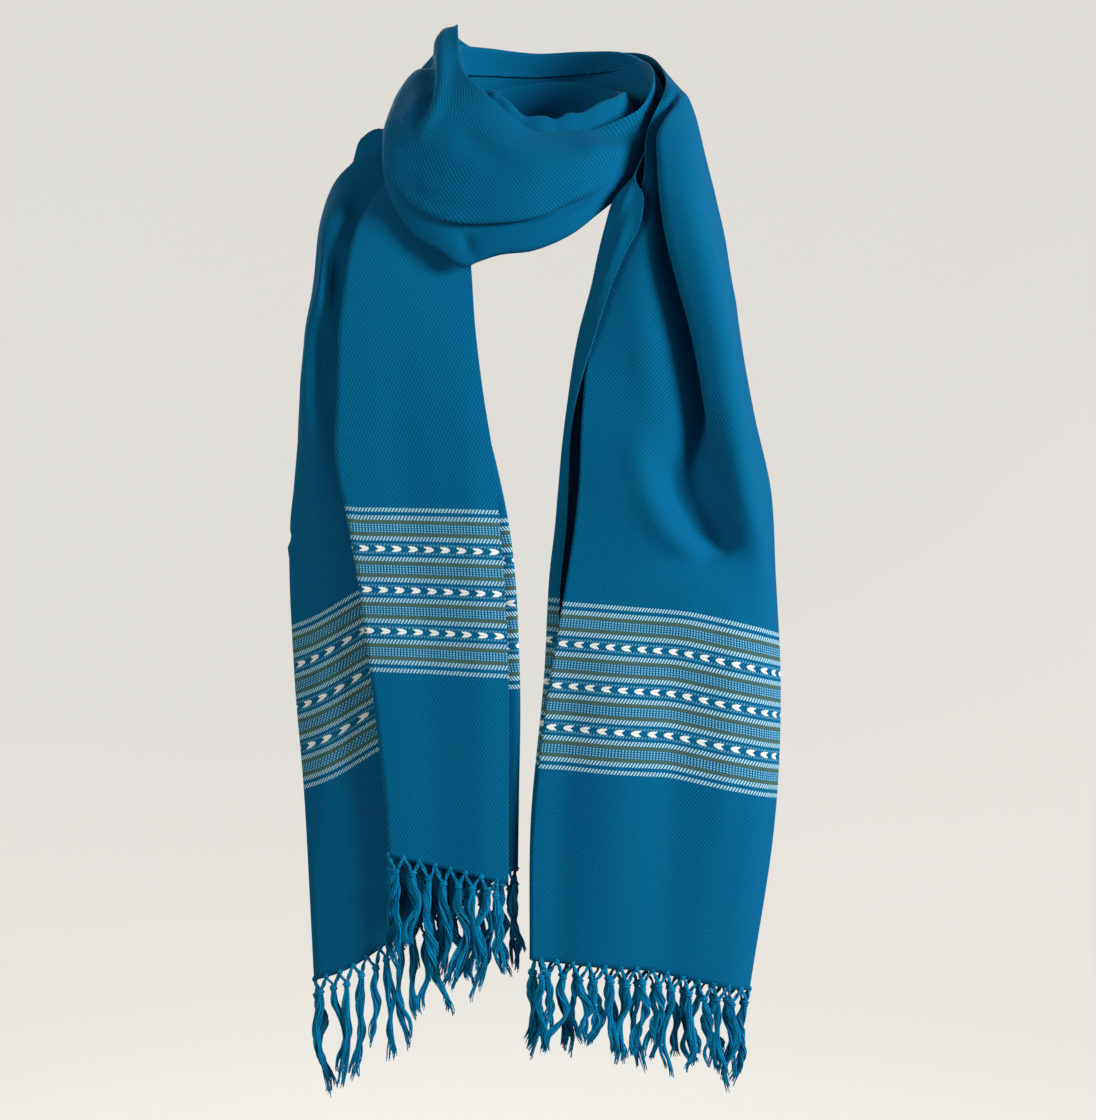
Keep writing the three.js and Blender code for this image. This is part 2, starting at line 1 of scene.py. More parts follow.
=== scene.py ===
# A woven stole, worn: one long cloth wound once round the neck, with both ends hanging in
# front and a knotted fringe at each end. The cloth is one continuous thin shell on the form
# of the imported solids. Tables are in millimetres, as in the part's source, and everything
# is turned into metres where a mesh is made. +Z is up, and +Y is the wearer's back.

import math

import bpy
import numpy as np
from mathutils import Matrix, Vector


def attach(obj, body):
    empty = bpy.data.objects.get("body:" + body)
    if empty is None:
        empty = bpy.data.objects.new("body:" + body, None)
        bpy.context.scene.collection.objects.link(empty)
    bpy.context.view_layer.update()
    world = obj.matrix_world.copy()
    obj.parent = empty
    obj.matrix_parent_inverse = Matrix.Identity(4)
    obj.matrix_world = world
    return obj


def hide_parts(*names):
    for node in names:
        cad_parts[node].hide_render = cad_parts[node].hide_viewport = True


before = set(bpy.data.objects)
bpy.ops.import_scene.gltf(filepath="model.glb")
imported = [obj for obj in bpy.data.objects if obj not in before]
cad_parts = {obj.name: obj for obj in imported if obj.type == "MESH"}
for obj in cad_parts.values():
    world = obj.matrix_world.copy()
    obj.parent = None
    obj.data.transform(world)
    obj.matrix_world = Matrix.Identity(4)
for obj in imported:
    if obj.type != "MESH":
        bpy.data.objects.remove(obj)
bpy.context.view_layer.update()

SCENE = bpy.context.scene
MM = 0.001
RNG = np.random.default_rng(7)

# ---- Named values; lengths are in millimetres ----

CLOTH_THICKNESS = 1.1
LAYER_GAP = 7.0            # spacing of the folded layers in the hanging tails
NAPE_GAP = 4.6             # spacing of the layers drawn tight at the neck
PANEL_BOW = 2.0            # how far the front panel of the left tail rounds out
STRIP_TURN = 5.5           # depth of the turned-in strip at the right tail's inner side
SIDE_RETURN = (-6, 8, 0)   # step from the right tail's outer fold to the layer behind
SHOULDER_HEIGHT = -60      # above this the tails begin to lie back on the shoulders,
SHOULDER_DEPTH = 90        # and their face points forward this far from the middle
SOFT_BEND = 400.0          # longest fillet, so that gentle knots become one curve
CREASE_BEND = 7.0          # fillet at a pressed or hanging fold
SECTIONS_ALONG = 460       # sections along the whole cloth
DENSITY = ((0, 1.0), (10, 1.0), (12, 0.5), (19, 0.5), (22, 1.0), (24, 1.2), (27, 1.8),   # how closely
           (31, 1.8), (33, 0.5), (37, 0.5), (39, 1.1), (52, 1.0))   # sections lie, by row

TWILL_PITCH = 2.4          # horizontal repeat of the twill's ribs
TWILL_LEAN = 0.55          # how far a rib moves across for each millimetre along
BAND_TOP = 268.0           # the band's first full stripe, from the hem
BAND_REPEAT = 33.0         # spacing of the band's stripe groups
GROUP_LEAD = 3.0           # how far a group begins above its first stripe
LONE_STRIPES = ((-6.4, 122.0), 1.6, 0.3)      # places below the first full stripe, half width and
PAIRED_STRIPES = ((0.0, 16.6), 1.75, 0.3)     # softness; the rest repeat with every group
OLIVE_STRIPES = ((3.25, 13.3), 1.45, 0.3)
DOT_ROWS = ((5.6, 7.4, 9.2, 11.0), 0.52, 0.2)
SMALL_ROWS = ((21.5, 28.1), 0.85, 0.25)
DASH_FLOATS = ((0.5,), 0.25, 0.09)            # the same for the floats, as shares of the twill
DOT_FLOATS = ((0.5,), 0.24, 0.08)
SMALL_FLOATS = ((0.5,), 0.2, 0.1)
ARROW_PITCH = 12.7
ARROW_START = 2.2
ARROW_LENGTH = 8.0
ARROW_HALF = 2.35          # half widths of an arrow's body and of the fork in its tail
FORK_HALF = 1.9
ARROW_ROW = 24.8
WEFT_PITCH = 0.9           # spacing of the crossing yarns, and of the twist in a fringe yarn
PLY_PITCH = 1.6
LEFT_RISE = ((0, 17), (110, 1), (210, -3), (290, 8))   # (place across the cloth, how much higher the
RIGHT_RISE = ((0, 7), (200, 10))                       # bands lie there), for each tail
RIGHT_HEM_LIFT = 5.0       # the right hem hangs this much higher than on its solid

WAVES = dict(waves=7, shortest=90, longest=260)        # the whole cloth's broad undulation
WAVE_HEIGHT = 0.5
EXTRA_ON_TAILS = 0.4
LEFT_TAIL_ENDS = (7, 11)   # rows of the tables over which the left tail passes into the neck,
RIGHT_TAIL_STARTS = (38, 41)         # and the neck into the right tail
MIDDLE_ROW = 25
FACE_FOLD = 46             # column of the front layer's outer fold
EVENED_SECTIONS = 91       # how many sections the front layer's width is evened out over
EVENED_ROWS = (38, 42)
TURNED_ROWS = (13, 35)     # the weave counts from the left hem before these, the right hem after
HEM_ROWS = (50, 52)
FOLD_DEPTH = 20            # the listed folds stay in front of this depth
GATHER_ROWS = (19.5, 28.5)
GATHER_COLUMN = 78         # the column where the gathers are strongest, and how far they spread
GATHER_SPREAD = 9.0

TURN = 6.283               # a full turn, a third of one, and the angle that spreads fibres evenly
THIRD_TURN = 2.094
GOLDEN_ANGLE = 2.4
TASSEL_PITCH = 12.6
NET_DROP = 11.0            # from the hem to the row of knots
PLIES = 3                  # loose plies in a tassel
STRANDS = 7                # fibres in a ply
FIBRE_RADIUS = 0.62
YARN_RADIUS = 0.903        # of the net's twisted yarns, and of those wound into a knot
KNOT_YARN_RADIUS = 1.25
KNOT_SIZE = (2.3, 1.7, 4.6)          # half width, half depth and height of a knot
ROOT_KNOT = 0.75           # a root's knot, as a share of a full one
KNOT_SCATTER = (1.2, 0.5, 1.6)
YARNS = 3                  # in each half bundle of the net
NET_RINGS = 7              # rings and sides of each strand
KNOT_RINGS = 22
TASSEL_RINGS = 22
YARN_SIDES = 5
FIBRE_SIDES = 4
RIGHT_TASSEL = 62          # lengths of the tassels: the left ones grow by up to 8 between two
LEFT_TASSEL = 66           # distances from the middle
LEFT_TASSEL_EXTRA = 8
LEFT_TASSEL_GROWS = (20, 110)
LENGTH_SPREAD = 0.17       # a tassel's length differs by up to this share
SWING = 8                  # how far its end swings sideways, and to the front or back
SWING_DEPTH = 2.2
CURL = (1.5, 4.5)          # ranges to draw from: height and number of its waves, its twist and
CURL_WAVES = (4.5, 8.5)    # width, and the place where it is pinched
TWIST = (0.25, 0.9)
TASSEL_WIDTH = (3.0, 4.4)
PINCH = (0.35, 0.75)
STRAY = 4.5                # how far a ply strays at its end
LEFT_SEED = 11
RIGHT_SEED = 23

# ---- The form: one row of knots for each section, as in the part's source ----


def named_rows(names, rows):
    """A table's rows, with a name for each of their values."""
    return [dict(zip(names.split(), row)) for row in rows]


# Left tail, hem to shoulder. edge: neck-side selvedge of the front panel. fold: its outer
# fold. back: where the hidden layer turns outwards again. groove, ridge, side, end: the
# outer layer, from under the front panel to its selvedge.
LEFT_TAIL = named_rows("edge fold back groove ridge side end", [
    ((-20, -108, -600), (-114, -106, -578), (-14, -100, -591), (-110, -91, -646), (-148, -88, -673),
     (-178, -80, -683), (-172, -70, -683)),
    ((-20, -109, -534), (-117, -107, -534), (-13, -101, -534), (-116, -92, -540), (-148, -89, -545),
     (-186, -76, -548), (-180, -66, -548)),
    ((-20, -110, -436), (-128, -109, -436), (-12, -102, -436), (-126, -93, -438), (-155, -90, -440),
     (-195, -72, -440), (-189, -60, -440)),
    ((-27, -112, -315), (-146, -111, -315), (-21, -104, -315), (-150, -94, -315), (-168, -93, -315),
     (-198, -70, -315), (-193, -56, -315)),
    ((-32, -110, -264), (-156, -110, -264), (-32, -102, -264), (-160, -92, -264), (-176, -97, -264),
     (-193, -71, -264), (-185, -55, -264)),
    ((-39, -108, -221), (-155, -108, -221), (-44, -101, -221), (-170, -89, -221), (-182, -99, -221),
     (-190, -72, -221), (-181, -54, -221)),
    ((-46, -101, -166), (-153.5, -103, -166), (-52, -94, -166), (-163, -82, -166), (-176, -96, -166),
     (-190, -66, -166), (-178, -48, -166)),
    ((-50, -90, -113), (-148, -93, -112), (-56, -83, -113), (-157, -73, -114), (-170, -86, -113),
     (-182, -52, -113), (-170, -36, -113)),
    ((-54, -74, -70), (-142, -80, -80), (-60, -68, -74), (-154, -60, -82), (-166, -66, -74),
     (-178, -34, -68), (-168, -22, -76)),
    ((-57, -56, -34), (-131, -58, -52), (-62, -52, -42), (-138, -42, -56), (-154, -38, -42),
     (-168, -14, -28), (-165, -2, -38)),
    ((-63, -32, 6), (-110, -30, -12), (-65, -28, -4), (-118, -20, -20), (-132, -16, -14), (-146, -10, -2),
     (-154, -8, -14)),
])

# Round the neck: points are (radius, height), and turn is the angle in degrees from the
# left side through the back of the neck (90), the right side (180) and the throat (270).
NAPE_INNER = named_rows("turn edge fold back groove ridge side end", [
    (0, (72, 40), (103, 18), (67, 25), (92, 7), (108, 7), (132, 20), (143, 11)),
    (30, (79, 55), (98, 16), (70, 47), (82, 20), (92, 6), (108, 4), (118, -5)),
    (60, (82, 69), (91, 6), (70, 68), (75, 32), (79, 12), (88, -6), (90, -14)),
    (90, (83, 76), (88, 2), (70, 76), (73, 42), (75, 22), (80, -4), (80, -10)),
    (120, (83, 79), (88, 2), (70, 74), (73, 44), (75, 24), (79, 2), (79, -4)),
    (150, (86, 80), (91, 0), (71, 62), (74, 36), (76, 22), (79, 6), (79, 0)),
])

# The loop across the throat. lip: where the upper drape overhangs the lower one. tuck: the
# hollow under it. hem: the bottom fold. inner: the turned-back layer behind. top: the fold
# that lies against the neck. end: the hidden selvedge.
NECK_LOOP = named_rows("turn edge upper lip tuck crown hem inner top end", [
    (180, (94, 75), (97, 52), (98, 30), (98, 18), (97, 8), (96, -6), (86, 22), (72, 47), (75, 12)),
    (198, (104, 54), (105, 36), (105, 18), (104, 10), (103, 3), (102, -12), (92, 14), (75, 41), (77, 2)),
    (212, (104, 24), (107, 10), (108, -5), (107, -10), (106, -15), (105, -26), (94, 0), (77, 33),
     (80, -14)),
    (226, (95, 8), (107, -10), (109.5, -28), (109, -34), (108, -40), (106, -49), (92, -14), (72, 21),
     (78, -26)),
    (240, (88, -1), (110, -22), (112.5, -46), (111, -52), (110.5, -58), (107.5, -68), (92, -24), (67, 12),
     (78, -38)),
    (255, (83, -5), (112, -34), (114, -66), (109.5, -68), (110.5, -77), (108, -89), (92, -38), (65, 9),
     (77, -52)),
    (270, (80, -3), (113, -34), (116, -80), (108, -76), (111, -90), (108, -101), (94, -44), (64, 9),
     (76, -50)),
    (285, (80, 12), (114, -32), (119, -84), (111, -80), (115, -94), (113, -105), (96, -34), (64, 19),
     (74, -28)),
    (293, (80, 22), (115, -29), (122, -84), (114, -80), (118, -96), (117, -110), (100, -30), (64, 25),
     (73, -14)),
    (298.5, (80, 29), (116, -26), (126, -83), (118, -79), (122, -97), (121.5, -114), (104, -24), (64, 32),
     (73, -2)),
    (304, (79, 36), (117, -20), (130, -80), (122, -76), (127, -91), (126, -104), (106, -18), (64, 33),
     (73, 2)),
    (314, (77, 47), (118, -4), (136, -68), (129, -64), (134, -76), (134, -89), (108, -6), (64, 39),
     (72, 12)),
    (326, (73, 62), (115, 20), (140, -38), (135, -35), (139, -44), (139, -57), (106, 8), (63.5, 48),
     (71, 24)),
    (342, (67, 89), (92, 61), (125, 16), (128, 4), (129, -2), (127, -12), (95, 26), (63, 66), (69, 44)),
    (360, (65, 106), (82, 86), (107, 61), (116, 48), (119, 39), (116, 31), (90, 48), (62, 83), (69, 58)),
])

# Behind the neck again, outside the first stretch.
NAPE_OUTER = named_rows("turn edge upper lip tuck crown hem inner top end", [
    (390, (81, 110), (95, 90), (110, 68), (116, 54), (117, 44), (114, 32), (98, 62), (73, 98), (80, 74)),
    (420, (96, 108), (103, 88), (110, 56), (112, 38), (112, 22), (109, 4), (100, 56), (82, 106),
     (88, 84)),
    (450, (98, 107), (104, 86), (109, 54), (110, 34), (110, 16), (107, -8), (99, 52), (84, 105),
     (89, 86)),
    (480, (99, 106), (106, 86), (112, 56), (114, 36), (114, 18), (111, -10), (101, 52), (85, 104),
     (90, 86)),
    (510, (105, 97), (113, 84), (121, 64), (127, 46), (130, 26), (129, -8), (112, 50), (92, 94),
     (97, 80)),
    (540, (108, 68), (115, 61), (121, 53), (128, 42), (134, 26), (143, -20), (121, 22), (102, 55),
     (101, 42)),
])

# Right tail, shoulder to hem. edge: neck-side edge of the front panel. panel, floor: its crest
# and the bottom of the groove beside the roll. lip, crown: left lip and crest of the roll.
# side: outer fold. mid, strip, curl: the layer behind, its inner fold, and its selvedge.
RIGHT_TAIL = named_rows("edge panel floor lip crown side mid strip curl", [
    ((107, -44, 40), (111, -48, 38), (116, -46, 35), (121, -53, 32), (131, -44, 18), (149, -18, -36),
     (128, -24, -12), (106, -34, 14), (101, -48, 8)),
    ((90, -76, -6), (97, -71, -8), (113, -58, -13), (96, -93, -9), (126, -93, -16), (155, -40, -70),
     (119, -42, -52), (90, -64, -24), (86, -79, -24)),
    ((88, -87, -34), (96, -83, -34), (113, -65, -38), (96, -104, -34), (128, -108, -40), (158, -48, -90),
     (118, -50, -72), (78, -86, -44), (80, -98, -45)),
    ((84, -97, -56), (94, -96, -57), (112, -72, -60), (97, -112, -58), (129, -119, -64), (160, -54, -108),
     (116, -56, -92), (64, -94, -62), (86, -108, -61)),
    ((78, -101, -80), (92, -104, -82), (112, -77, -84), (100, -115, -82), (134, -124, -86),
     (162, -58, -124), (114, -61, -110), (57, -92, -84), (83, -109, -84)),
    ((67, -102, -104), (90, -108, -104), (114, -80, -104), (104, -118, -104), (139, -128, -106),
     (164, -61, -138), (112, -64, -126), (52, -93, -104), (73, -110, -104)),
    ((57, -102, -132), (93, -111, -132), (120, -82, -132), (111, -119, -132), (144, -129, -132),
     (166, -64, -158), (110, -65, -148), (46, -94, -132), (61, -110, -132)),
    ((46, -102, -166), (99, -113, -166), (128, -83, -166), (120, -120, -166), (150, -130, -166),
     (169, -66, -182), (106, -66, -176), (36, -93, -166), (49, -110, -166)),
    ((38, -107, -228), (108, -114, -228), (140, -86, -228), (131, -119, -228), (158, -129, -228),
     (178, -68, -232), (104, -70, -230), (25, -93, -228), (31, -105, -228)),
    ((35, -109, -292), (88, -118, -292), (128, -91, -292), (144, -105, -292), (168, -120, -292),
     (191, -70, -292), (104, -74, -292), (19, -93, -292), (27, -102, -292)),
    ((31, -110, -326), (106, -117, -330), (144, -99, -332), (158, -107, -330), (177, -113, -328),
     (193, -71, -326), (104, -78, -326), (16, -94, -326), (25, -102, -326)),
    ((27, -110, -352), (84, -114, -352), (132, -110, -354), (160, -107, -354), (181, -104, -352),
     (194, -72, -352), (104, -82, -352), (13, -94, -352), (22, -102, -352)),
    ((13, -111, -436), (57, -115, -438), (110, -110, -440), (150, -107, -442), (184, -100, -444),
     (198, -74, -444), (104, -85, -440), (8, -97, -436), (18, -104, -436)),
    ((-1, -111, -560), (46, -115, -563), (104, -110, -566), (142, -107, -570), (176, -100, -572),
     (192, -78, -572), (94, -88, -566), (-3, -97, -560), (8, -104, -560)),
    ((-2, -109, -665), (39, -112, -669), (88, -108, -673), (124, -105, -682), (156, -99, -690),
     (172, -84, -694), (84, -90, -675), (-4, -96, -666), (8, -102.5, -667)),
])

# Main folds: each one's half width, and where it runs as seen from the front, as
# (x, z, height), with height above the form.

# Left tail, the outer layer: a thin ridge with a groove on each side, the roll next to the
# front panel, a pressed crease and a broad wave.
LEFT_OUTER = [
    (4, [(-148, -58, 0), (-160, -90, 3.5), (-170, -128, 4), (-177, -166, 3.5), (-182, -210, 0)]),
    (4, [(-156, -58, 0), (-170, -94, -2), (-179, -134, -2.5), (-186, -172, -2), (-190, -206, 0)]),
    (4, [(-132, -48, 0), (-147, -66, -5), (-156, -96, -6), (-162, -120, -6), (-170, -166, -4),
         (-175, -195, 0)]),
    (6.5, [(-138, -66, 0), (-149, -100, 3), (-155, -135, 4), (-161, -166, 4), (-165, -205, 3.5),
           (-167, -250, 3), (-166, -300, 0)]),
    (4.5, [(-196, -328, -1.5), (-169, -321, -2), (-147, -316, -2)]),
    (4.5, [(-196, -337, 1.5), (-169, -330, 2), (-147, -325, 2)]),
    (11, [(-160, -360, 0), (-168, -430, 2.5), (-165, -520, 2.5), (-160, -620, 0)]),
]
# Left tail, the front panel: broad, shallow waves.
LEFT_FACE = [
    (16, [(-62, -120, 0), (-50, -250, 2), (-40, -420, 2.5), (-38, -600, 2)]),
    (18, [(-110, -120, 0), (-104, -260, -1.8), (-84, -430, -2), (-78, -600, -2)]),
]
# The loop: the hollow and the raised strip beside the collar's edge, soft lines of the drape,
# and the short crease that runs up from the point.
LOOP_FACE = [
    (6.5, [(-94, 84, -5), (-90, 72, -11), (-88, 46, -15), (-88, 26, -11), (-92, 5, -4), (-98, -12, 0)]),
    (6.5, [(-74, 100, 7), (-77, 86, 7), (-77, 62, 5), (-78, 40, 5), (-81, 16, 5), (-91, -3, 4),
           (-107, -12, 0)]),
    (12, [(-116, 34, 0), (-120, 8, 3), (-113, -24, 3), (-98, -50, 0)]),
    (10, [(-66, 10, 0), (-50, -14, -3.5), (-28, -33, -3.5), (4, -44, 0)]),
    (7, [(-104, -30, 0), (-84, -50, 1.5), (-50, -62, 1.5), (-10, -66, 0)]),
    (4, [(14, -74, 0), (26, -70, -2.5), (38, -65, -2.5), (52, -57, 0)]),
    (6, [(20, -62, 0), (34, -57, 2), (50, -48, 2), (66, -34, 0)]),
    (4.5, [(-48, -108, -1), (-52, -99, -3.5), (-57, -85, 0)]),
    (7, [(30, -12, 0), (48, -21, 2.5), (66, -24, 2.5), (84, -14, 0)]),
    (5, [(44, 2, 0), (58, -6, -2.5), (74, -6, -2.5), (88, 6, 0)]),
]
# Right tail: the raised hook that curls under the groove's end, the basin inside it, a faint
# crest, broad waves below, the strip's thin selvedge line at its top and its rounded middle.
RIGHT_FACE = [
    (9, [(82, -240, 0), (83, -272, 4), (90, -298, 6), (101, -319, 6), (116, -335, 5), (136, -347, 0)]),
    (10, [(108, -262, 0), (114, -284, -6), (121, -302, -8), (132, -319, -9), (148, -331, -7),
          (162, -326, 0)]),
    (7, [(80, -150, 0), (86, -195, 1.6), (89, -245, 0)]),
    (12, [(150, -350, 0), (158, -420, 2), (152, -520, 2), (146, -600, 0)]),
    (24, [(64, -380, 0), (68, -450, 3), (66, -560, 3.5), (64, -680, 2)]),
    (13, [(34, -400, 0), (28, -470, -2), (20, -580, -2.5), (18, -680, -2)]),
    (16, [(112, -380, 0), (112, -460, -2.5), (108, -580, -2.5), (104, -680, -1)]),
]
RIGHT_STRIP = [
    (2.6, [(78, -52, 1), (72, -64, 2.5), (63, -82, 0)]),
    (5, [(76, -64, 0), (70, -92, 3), (60, -118, 3), (50, -145, 2), (42, -175, 0)]),
]

# Where each list's folds lie on the mesh: its rows and its columns.
FOLDS = (
    (LEFT_OUTER, (0, 11), (80, 105)),
    (LEFT_FACE, (0, 10), (0, 44)),
    (LOOP_FACE, (19, 33), (0, 47)),
    (RIGHT_FACE, (39, 52), (0, 47)),
    (RIGHT_STRIP, (39, 51), (78, 105)),
)

# Small gathers of the loop's inner layer, where it shows above the outer edge: x, lift, half width.
GATHERS = [(-24, 4, 8), (-9, -2, 6), (6, 3, 10), (18, -2, 6), (28, 4, 8), (52, 3, 12)]

# Knots where the cloth is creased, and the columns of the mesh from one such place to the next.
CREASED = (2, 3, 5, 6, 8, 9)
COLUMNS = [(0, 2, 22), (2, 3, 8), (3, 5, 16), (5, 6, 4), (6, 8, 26), (8, 9, 4), (9, 13, 24)]


def point(values):
    return np.array(values, float)


def mix(a, b, share):
    return a + (b - a) * share


def unit(vector):
    return vector / np.maximum(np.linalg.norm(vector, axis=-1, keepdims=True), 1e-9)


def out_of_face(inner, outer):
    """Direction out of the cloth's face at a tail row, from its front layer's width."""
    across = outer - inner
    lifted = point((0, -1, 0))
    if inner[2] > SHOULDER_HEIGHT:
        lifted = mix(point((0, 0, 1)), lifted, min(max(-inner[1] / SHOULDER_DEPTH, 0), 1))
    return unit(lifted - across * (lifted @ across) / (across @ across))


def left_tail_knots(row):
    edge, fold, back = point(row["edge"]), point(row["fold"]), point(row["back"])
    face = out_of_face(edge, fold)
    bow = [mix(edge, fold, s) + face * PANEL_BOW * 4 * s * (1 - s) for s in (0.2, 0.4, 0.6, 0.8)]
    fold_in, back_in = fold - face * LAYER_GAP, back - face * LAYER_GAP
    outer = [point(row[name]) for name in ("groove", "ridge", "side", "end")]
    return [edge, *bow, fold, fold_in, mix(fold_in, back, 0.5), back, back_in, *outer]


def around_neck(pair, turn):
    angle = math.radians(turn)
    return point((-pair[0] * math.cos(angle), pair[0] * math.sin(angle), pair[1]))


def beside_layer(pair, upper, lower, distance):
    """A (radius, height) pair moved off a layer that runs from upper to lower."""
    run, drop = lower[0] - upper[0], upper[1] - lower[1]
    scale = distance / math.hypot(run, drop)
    return (pair[0] + drop * scale, pair[1] + run * scale)


def between(a, b, share):
    return (a[0] + (b[0] - a[0]) * share, a[1] + (b[1] - a[1]) * share)


def nape_inner_knots(row):
    edge, fold, back = row["edge"], row["fold"], row["back"]
    fold_in = beside_layer(fold, edge, fold, -NAPE_GAP)
    back_out = beside_layer(back, edge, fold, NAPE_GAP)
    flat = [edge, *(between(edge, fold, s) for s in (0.2, 0.4, 0.6, 0.8)), fold, fold_in,
            between(fold_in, back_out, 0.5), back_out, back,
            row["groove"], row["ridge"], row["side"], row["end"]]
    return [around_neck(pair, row["turn"]) for pair in flat]


def loop_knots(row):
    top, hem, end = row["top"], row["hem"], row["end"]
    top_out = beside_layer(top, top, hem, NAPE_GAP)
    hem_in = beside_layer(hem, top, hem, -NAPE_GAP)
    flat = [row["edge"], row["upper"], row["lip"], row["tuck"], row["crown"], hem, hem_in,
            row["inner"], top_out, top, *(between(top, end, s) for s in (0.3, 0.55, 0.8)), end]
    return [around_neck(pair, row["turn"]) for pair in flat]


def right_tail_knots(row):
    names = ("edge", "panel", "floor", "lip", "crown", "side", "mid", "strip", "curl")
    *front, side, behind, strip, curl = (point(row[name]) for name in names)
    strip_in = strip + point((0, -STRIP_TURN, 0))
    return [*front, side, side + point(SIDE_RETURN), behind, strip, strip_in,
            *(mix(strip_in, curl, s) for s in (0.3, 0.55, 0.8)), curl]


KNOTS = np.array(
    [left_tail_knots(row) for row in LEFT_TAIL]
    + [nape_inner_knots(row) for row in NAPE_INNER]
    + [loop_knots(row) for row in NECK_LOOP + NAPE_OUTER]
    + [right_tail_knots(row) for row in RIGHT_TAIL]
)


def knots_along(count):
    """Knots of count evenly spaced sections, with the row number of each."""
    step = KNOTS[1:] - KNOTS[:-1]
    spacing = np.linalg.norm(step, axis=2).mean(1)
    rise = step / spacing[:, None, None]
    share = (spacing[:-1] / (spacing[:-1] + spacing[1:]))[:, None, None]
    slope = np.concatenate([rise[:1], rise[:-1] * (1 - share) + rise[1:] * share, rise[-1:]])
    reach = np.concatenate([[0], np.cumsum(spacing)])
    fine = np.linspace(0, reach[-1], 4000)
    density = np.interp(np.interp(fine, reach, np.arange(len(reach))), *zip(*DENSITY))
    places = np.interp(np.linspace(0, 1, count), np.cumsum(density) / density.sum(), fine)
    places[0], places[-1] = 0, reach[-1]
    i = np.clip(np.searchsorted(reach, places, side="right") - 1, 0, len(spacing) - 1)
    t = ((places - reach[i]) / spacing[i])[:, None, None]
    length = spacing[i][:, None, None]
    knots = (KNOTS[i] * (2 * t**3 - 3 * t**2 + 1) + slope[i] * (t**3 - 2 * t**2 + t) * length
             + KNOTS[i + 1] * (3 * t**2 - 2 * t**3) + slope[i + 1] * (t**3 - t**2) * length)
    return knots, i + t[:, 0, 0]


def rounded(knots):
    """Each section as a fine polyline with its knots rounded off, and where each knot lies on it."""
    samples = np.linspace(0, 1, 9)[:, None]
    line, middles = [knots[:, :1]], {0: 0}
    for k in range(1, knots.shape[1] - 1):
        before, after = knots[:, k - 1] - knots[:, k], knots[:, k + 1] - knots[:, k]
        lengths = [np.linalg.norm(v, axis=1, keepdims=True) for v in (before, after)]
        bend = np.minimum(CREASE_BEND if k in CREASED else SOFT_BEND, np.minimum(*lengths) / 2)
        start, finish = knots[:, k] + unit(before) * bend, knots[:, k] + unit(after) * bend
        line.append(start[:, None] * (1 - samples) ** 2 + knots[:, k][:, None] * 2 * samples * (1 - samples)
                    + finish[:, None] * samples**2)
        middles[k] = 1 + (k - 1) * len(samples) + len(samples) // 2
    line.append(knots[:, -1:])
    line = np.concatenate(line, axis=1)
    middles[knots.shape[1] - 1] = line.shape[1] - 1
    return line, middles


def graded(count):
    """Shares from 0 to 1, closer together at both ends, where the cloth is creased."""
    even = np.arange(count) / count
    return even - 0.55 * np.sin(2 * math.pi * even) / (2 * math.pi)


def cloth_grid():
    """Points of the cloth's middle surface, [section, column], and each one's place across it."""
    knots, rows = knots_along(SECTIONS_ALONG)
    line, middles = rounded(knots)
    run = np.concatenate([np.zeros((len(line), 1)),
                          np.cumsum(np.linalg.norm(np.diff(line, axis=1), axis=2), axis=1)], axis=1)
    across = np.concatenate(
        [run[:, middles[a], None] + (run[:, middles[b]] - run[:, middles[a]])[:, None] * graded(n)
         for a, b, n in COLUMNS] + [run[:, -1:]], axis=1)
    grid = np.stack([np.stack([np.interp(across[i], run[i], line[i, :, axis]) for axis in range(3)], axis=1)
                     for i in range(len(line))])
    return grid, across, rows


def face_normals(grid):
    return unit(np.cross(np.gradient(grid, axis=0), np.gradient(grid, axis=1)))


def distance_along(grid):
    steps = np.linalg.norm(np.diff(grid, axis=0), axis=2)
    return np.concatenate([np.zeros((1, grid.shape[1])), np.cumsum(steps, axis=0)], axis=0)


def smooth_step(value, low, high):
    t = np.clip((value - low) / (high - low), 0, 1)
    return t * t * (3 - 2 * t)


def any_angle(rng):
    return rng.uniform(0, 6.28)


def ripples(across, along, waves, shortest, longest):
    """Gentle uneven undulation of unit size, from waves of seeded direction and length."""
    total = np.zeros_like(across)
    for _ in range(waves):
        heading, length = RNG.uniform(-0.6, 0.6), RNG.uniform(shortest, longest)
        forward = across * math.cos(heading) + along * math.sin(heading)
        total += np.sin(forward * TURN / length + any_angle(RNG))
    return total / math.sqrt(waves)


def fold_height(grid, width, run, rows, columns):
    """How far one fold lifts each point of the cloth: a soft rib along its run."""
    spot = grid[..., [0, 2]]
    best, height = np.full(grid.shape[:2], 1e9), np.zeros(grid.shape[:2])
    for a, b in zip(run[:-1], run[1:]):
        start, step = point(a[:2]), point(b[:2]) - point(a[:2])
        share = np.clip(((spot - start) @ step) / (step @ step), 0, 1)
        away = np.linalg.norm(spot - start - share[..., None] * step, axis=-1)
        nearer = away < best
        best = np.where(nearer, away, best)
        height = np.where(nearer, a[2] + (b[2] - a[2]) * share, height)
    column = np.arange(grid.shape[1])
    in_rows = (row_number >= rows[0]) & (row_number <= rows[1])
    in_columns = (column >= columns[0]) & (column < columns[1])
    belongs = in_rows[:, None] & in_columns & (grid[..., 1] < FOLD_DEPTH)
    return np.where(belongs, height * np.exp(-(best / width) ** 2), 0)


# ---- Mesh helpers ----

def placed(name, data):
    """A new object in the scene."""
    obj = bpy.data.objects.new(name, data)
    SCENE.collection.objects.link(obj)
    return obj


